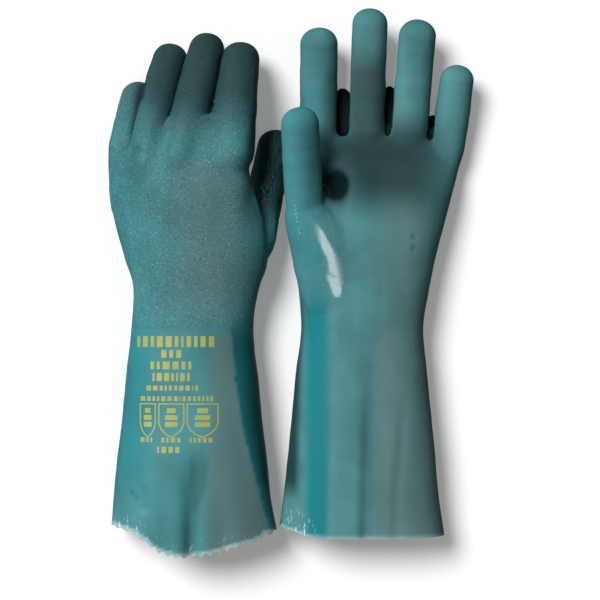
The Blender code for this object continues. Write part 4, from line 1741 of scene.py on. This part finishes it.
@dataclass
class SleevePrint:
    """The ink on the palm-down glove's sleeve: plain bars, and frames with three bars in each.

    Attributes:
        thickness: how far the ink stands out.
        step: the grid that it is laid in.
        marks: its bars and frames.
    """

    glove: Glove
    thickness: float = 0.00012
    step: float = 0.0016
    marks: tuple[InkMark, ...] = (
        InkMark((-0.1188, -0.0601, -0.0342, -0.0262), 11, seed=1.0),
        InkMark((-0.1007, -0.0840, -0.0420, -0.0362), 3, seed=2.0),
        InkMark((-0.1087, -0.0768, -0.0503, -0.0446), 6, seed=3.0),
        InkMark((-0.1072, -0.0782, -0.0588, -0.0530), 7, seed=4.0),
        InkMark((-0.1116, -0.0724, -0.0657, -0.0621), 10, seed=5.0),
        InkMark((-0.1159, -0.0616, -0.0733, -0.0699), 15, seed=6.0),
        InkMark((-0.1166, -0.1046, -0.1000, -0.0750), 1, 0.0009),
        InkMark((-0.1028, -0.0838, -0.1000, -0.0750), 1, 0.0009),
        InkMark((-0.0822, -0.0590, -0.1000, -0.0750), 1, 0.0009),
        InkMark((-0.1159, -0.1060, -0.1032, -0.0998), 3, seed=7.0),
        InkMark((-0.1005, -0.0850, -0.1032, -0.0998), 4, seed=8.0),
        InkMark((-0.0800, -0.0620, -0.1032, -0.0998), 5, seed=9.0),
        InkMark((-0.1036, -0.0855, -0.1108, -0.1064), 4, seed=10.0),
    )

    def patch(self, tree: BVHTree, corners: Array, start: int) -> tuple[list, list]:
        """A thin closed slab over a four-cornered patch of the plan, lying on the sleeve.

        Args:
            tree: the sleeve's surface.
            corners: its corners once round.
            start: the number of its first point.

        Returns:
            Its points and faces.
        """
        a, b, c, d = corners
        columns = max(2, int(np.linalg.norm(b - a) / self.step) + 2)
        rows = max(2, int(np.linalg.norm(d - a) / self.step) + 2)
        low, high = [], []
        for up in np.linspace(0.0, 1.0, rows):
            for along in np.linspace(0.0, 1.0, columns):
                x, y = (a * (1 - along) + b * along) * (1 - up) + (d * (1 - along) + c * along) * up
                place, normal, _, _ = tree.ray_cast(Vector((x, y, 0.12)), Vector((0, 0, -1)))
                low.append(place - normal * 0.0001)
                high.append(place + normal * self.thickness)
        turn = (b - a)[0] * (d - a)[1] - (b - a)[1] * (d - a)[0]
        faces = []
        count = len(low)
        for row in range(rows - 1):
            for column in range(columns - 1):
                a = start + row * columns + column
                quad = (a, a + 1, a + columns + 1, a + columns)
                faces.append(tuple(reversed(quad)))
                faces.append(tuple(corner + count for corner in quad))
        ring = [column for column in range(columns)]
        ring += [row * columns + columns - 1 for row in range(1, rows)]
        ring += [(rows - 1) * columns + column for column in range(columns - 2, -1, -1)]
        ring += [row * columns for row in range(rows - 2, 0, -1)]
        for first, second in zip(ring, ring[1:] + ring[:1]):
            faces.append((start + first, start + second, start + second + count, start + first + count))
        if turn < 0:
            faces = [tuple(reversed(face)) for face in faces]
        return [tuple(point) for point in low + high], faces

    def build(self, ink: bpy.types.Material) -> None:
        """Lays the ink in two pieces: one near the wrist, baked in place, and one attached to the sleeve."""
        tree = self.glove.tree()
        for name, bends in (("palmdown_print_top", True), ("palmdown_print", False)):
            points: list = []
            faces: list = []
            for mark in self.marks:
                if (mark.box[3] > -0.043) != bends:
                    continue
                for corners in mark.pieces():
                    more_points, more_faces = self.patch(tree, corners, len(points))
                    points += more_points
                    faces += more_faces
            drawn = np.array(points)
            thing = link(name, drawn + self.glove.shift, faces)
            self.glove.add_masks(thing.data, drawn, False)
            thing.data.materials.append(ink)
            if bends:
                self.glove.bend_at_wrist(thing)
            else:
                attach(thing, "palmdown_sleeve")
            LOG.info("%s: %d faces", name, len(faces))


@dataclass
class ThumbSeam:
    """The stitches that show along the palm-up glove's seam."""

    glove: Glove
    line: tuple[tuple[float, float], ...] = ((-0.0036, 0.0680), (-0.0022, 0.0580), (0.0000, 0.0478))
    pitch: float = 0.0028
    radius: float = 0.00034

    def build(self, thread: bpy.types.Material) -> None:
        """Lays the stitches on the skin."""
        tree = self.glove.tree()
        known = np.array(self.line)
        y = np.arange(known[0, 1], known[-1, 1], -self.pitch)
        x = np.interp(-y, -known[:, 1], known[:, 0])
        points: list = []
        faces: list = []
        for index, (px, py) in enumerate(zip(x, y)):
            if noise.noise(Vector((index * 0.9, 4.0, 0.0))) < -0.22:
                continue
            rings = []
            for share in np.linspace(-1, 1, 7):
                middle = Vector((px + 0.0003 * share, py + self.pitch * 0.34 * share, 0.12))
                place, normal, _, _ = tree.ray_cast(middle, Vector((0, 0, -1)))
                size = self.radius * math.sqrt(max(0.04, 1 - share * share))
                side = Vector((1, 0, 0)).cross(normal).cross(normal).normalized()
                centre = place + normal * self.radius * 0.3
                for turn in range(8):
                    angle = turn * math.tau / 8
                    rings.append(centre + (side * math.cos(angle) + normal * math.sin(angle)) * size)
            block = np.array([tuple(point) for point in rings])
            faces += [tuple(c + len(points) for c in face) for face in outward(block, tube_faces(7, 8))]
            points += block.tolist()
        drawn = np.array(points)
        thing = link("palmup_seam_stitches", drawn + self.glove.shift, faces)
        thing.data.polygons.foreach_set("use_smooth", np.ones(len(thing.data.polygons), dtype=bool))
        self.glove.add_masks(thing.data, drawn, False)
        thing.data.materials.append(thread)
        self.glove.bend_at_wrist(thing)
        LOG.info("palmup_seam_stitches: %d faces", len(faces))


@dataclass(frozen=True)
class Lamp:
    """A broad distant lamp: where it stands, how strong it is, and its spread in degrees."""

    direction: Colour
    strength: float
    spread: float

    def build(self, name: str) -> bpy.types.Object:
        """Places the lamp."""
        sun = bpy.data.lights.new(name, "SUN")
        sun.energy = self.strength
        sun.angle = math.radians(self.spread)
        thing = bpy.data.objects.new(name, sun)
        thing.rotation_euler = Vector(self.direction).to_track_quat("Z", "Y").to_euler()
        thing.visible_glossy = name in {"key", "palmup_shine"}
        thing.visible_diffuse = name != "palmup_shine"
        bpy.context.scene.collection.objects.link(thing)
        return thing


@dataclass
class Studio:
    """The pale table, the soft light and the camera straight above.

    Attributes:
        key: the lamp over both gloves.
        side_down, side_up: the lower lamps that shine on one glove each.
        shine: the lamp that only the wet streak on the palm-up glove's thumb ball reflects.
        fill: how bright the room is.
        table_half: half the table's side.
        table_drop: how far the table lies below the gloves.
    """

    centre: tuple[float, float]
    camera_height: float = 1.7
    view_width: float = 0.45
    key: Lamp = Lamp((-0.44, 0.40, 1.0), 2.80, 24.0)
    side_down: Lamp = Lamp((-1.0, 0.25, 0.62), 1.5, 20.0)
    side_up: Lamp = Lamp((-1.0, 0.35, 0.90), 1.75, 26.0)
    shine: Lamp = Lamp((0.10, -0.09, 1.0), 1.2, 24.0)
    fill: float = 0.15
    table_half: float = 4.0
    table_drop: float = 0.0002

    def build(self, table: bpy.types.Material) -> None:
        """Places table, light and camera."""
        sides = ((-1, -1), (1, -1), (1, 1), (-1, 1))
        corners = np.array([(x * self.table_half, y * self.table_half, -self.table_drop) for x, y in sides])
        floor = link("table", corners, [(0, 1, 2, 3)])
        floor.data.materials.append(table)
        floor.visible_diffuse = False
        floor.visible_glossy = False
        self.key.build("key")
        for name, lamp in (("palmdown", self.side_down), ("palmup", self.side_up)):
            lit = bpy.data.collections.new(f"{name}_lit")
            for thing in bpy.data.objects:
                if thing.type == "MESH" and thing.name.startswith(name):
                    lit.objects.link(thing)
            lamp.build(f"{name}_side").light_linking.receiver_collection = lit
        self.shine.build("palmup_shine").light_linking.receiver_collection = lit
        world = bpy.data.worlds.new("room")
        world.use_nodes = True
        backdrop = world.node_tree.nodes["Background"]
        backdrop.inputs["Color"].default_value = (0.97, 0.985, 1.0, 1.0)
        backdrop.inputs["Strength"].default_value = self.fill
        bpy.context.scene.world = world
        lens = bpy.data.cameras.new("camera")
        lens.sensor_width = 36.0
        lens.lens = 36.0 * self.camera_height / self.view_width
        lens.clip_end = 20.0
        camera = bpy.data.objects.new("camera", lens)
        camera.location = (*self.centre, self.camera_height)
        bpy.context.scene.collection.objects.link(camera)
        bpy.context.scene.camera = camera
        bpy.context.scene.view_settings.view_transform = "Standard"


def main() -> None:
    """Builds both gloves, their dressing and the studio."""
    logging.basicConfig(level=logging.INFO, format="%(name)s: %(message)s")
    for thing in list(bpy.data.objects):
        if thing.type in {"CAMERA", "LIGHT"}:
            bpy.data.objects.remove(thing)
    knit = KnitFinish("liner_knit").build()
    down_skin = CoatFinish("palmdown_dipped_skin").build()
    up_colours = {"lit": (0.074, 0.216, 0.230), "deep": (0.048, 0.153, 0.163)}
    up_skin = CoatFinish("palmup_dipped_skin", roughness=0.44, reflection=0.03, **up_colours).build()
    down, up = PalmDownGlove(), PalmUpGlove()
    down.build(down_skin, knit)
    up.build(up_skin, knit)
    SleevePrint(down).build(InkFinish("sleeve_ink").build())
    ThumbSeam(up).build(ThreadFinish("seam_thread").build())
    Studio((float(down.shift[0]), float(down.shift[1]))).build(TableFinish("table_pale").build())


if __name__ == "__main__":
    main()
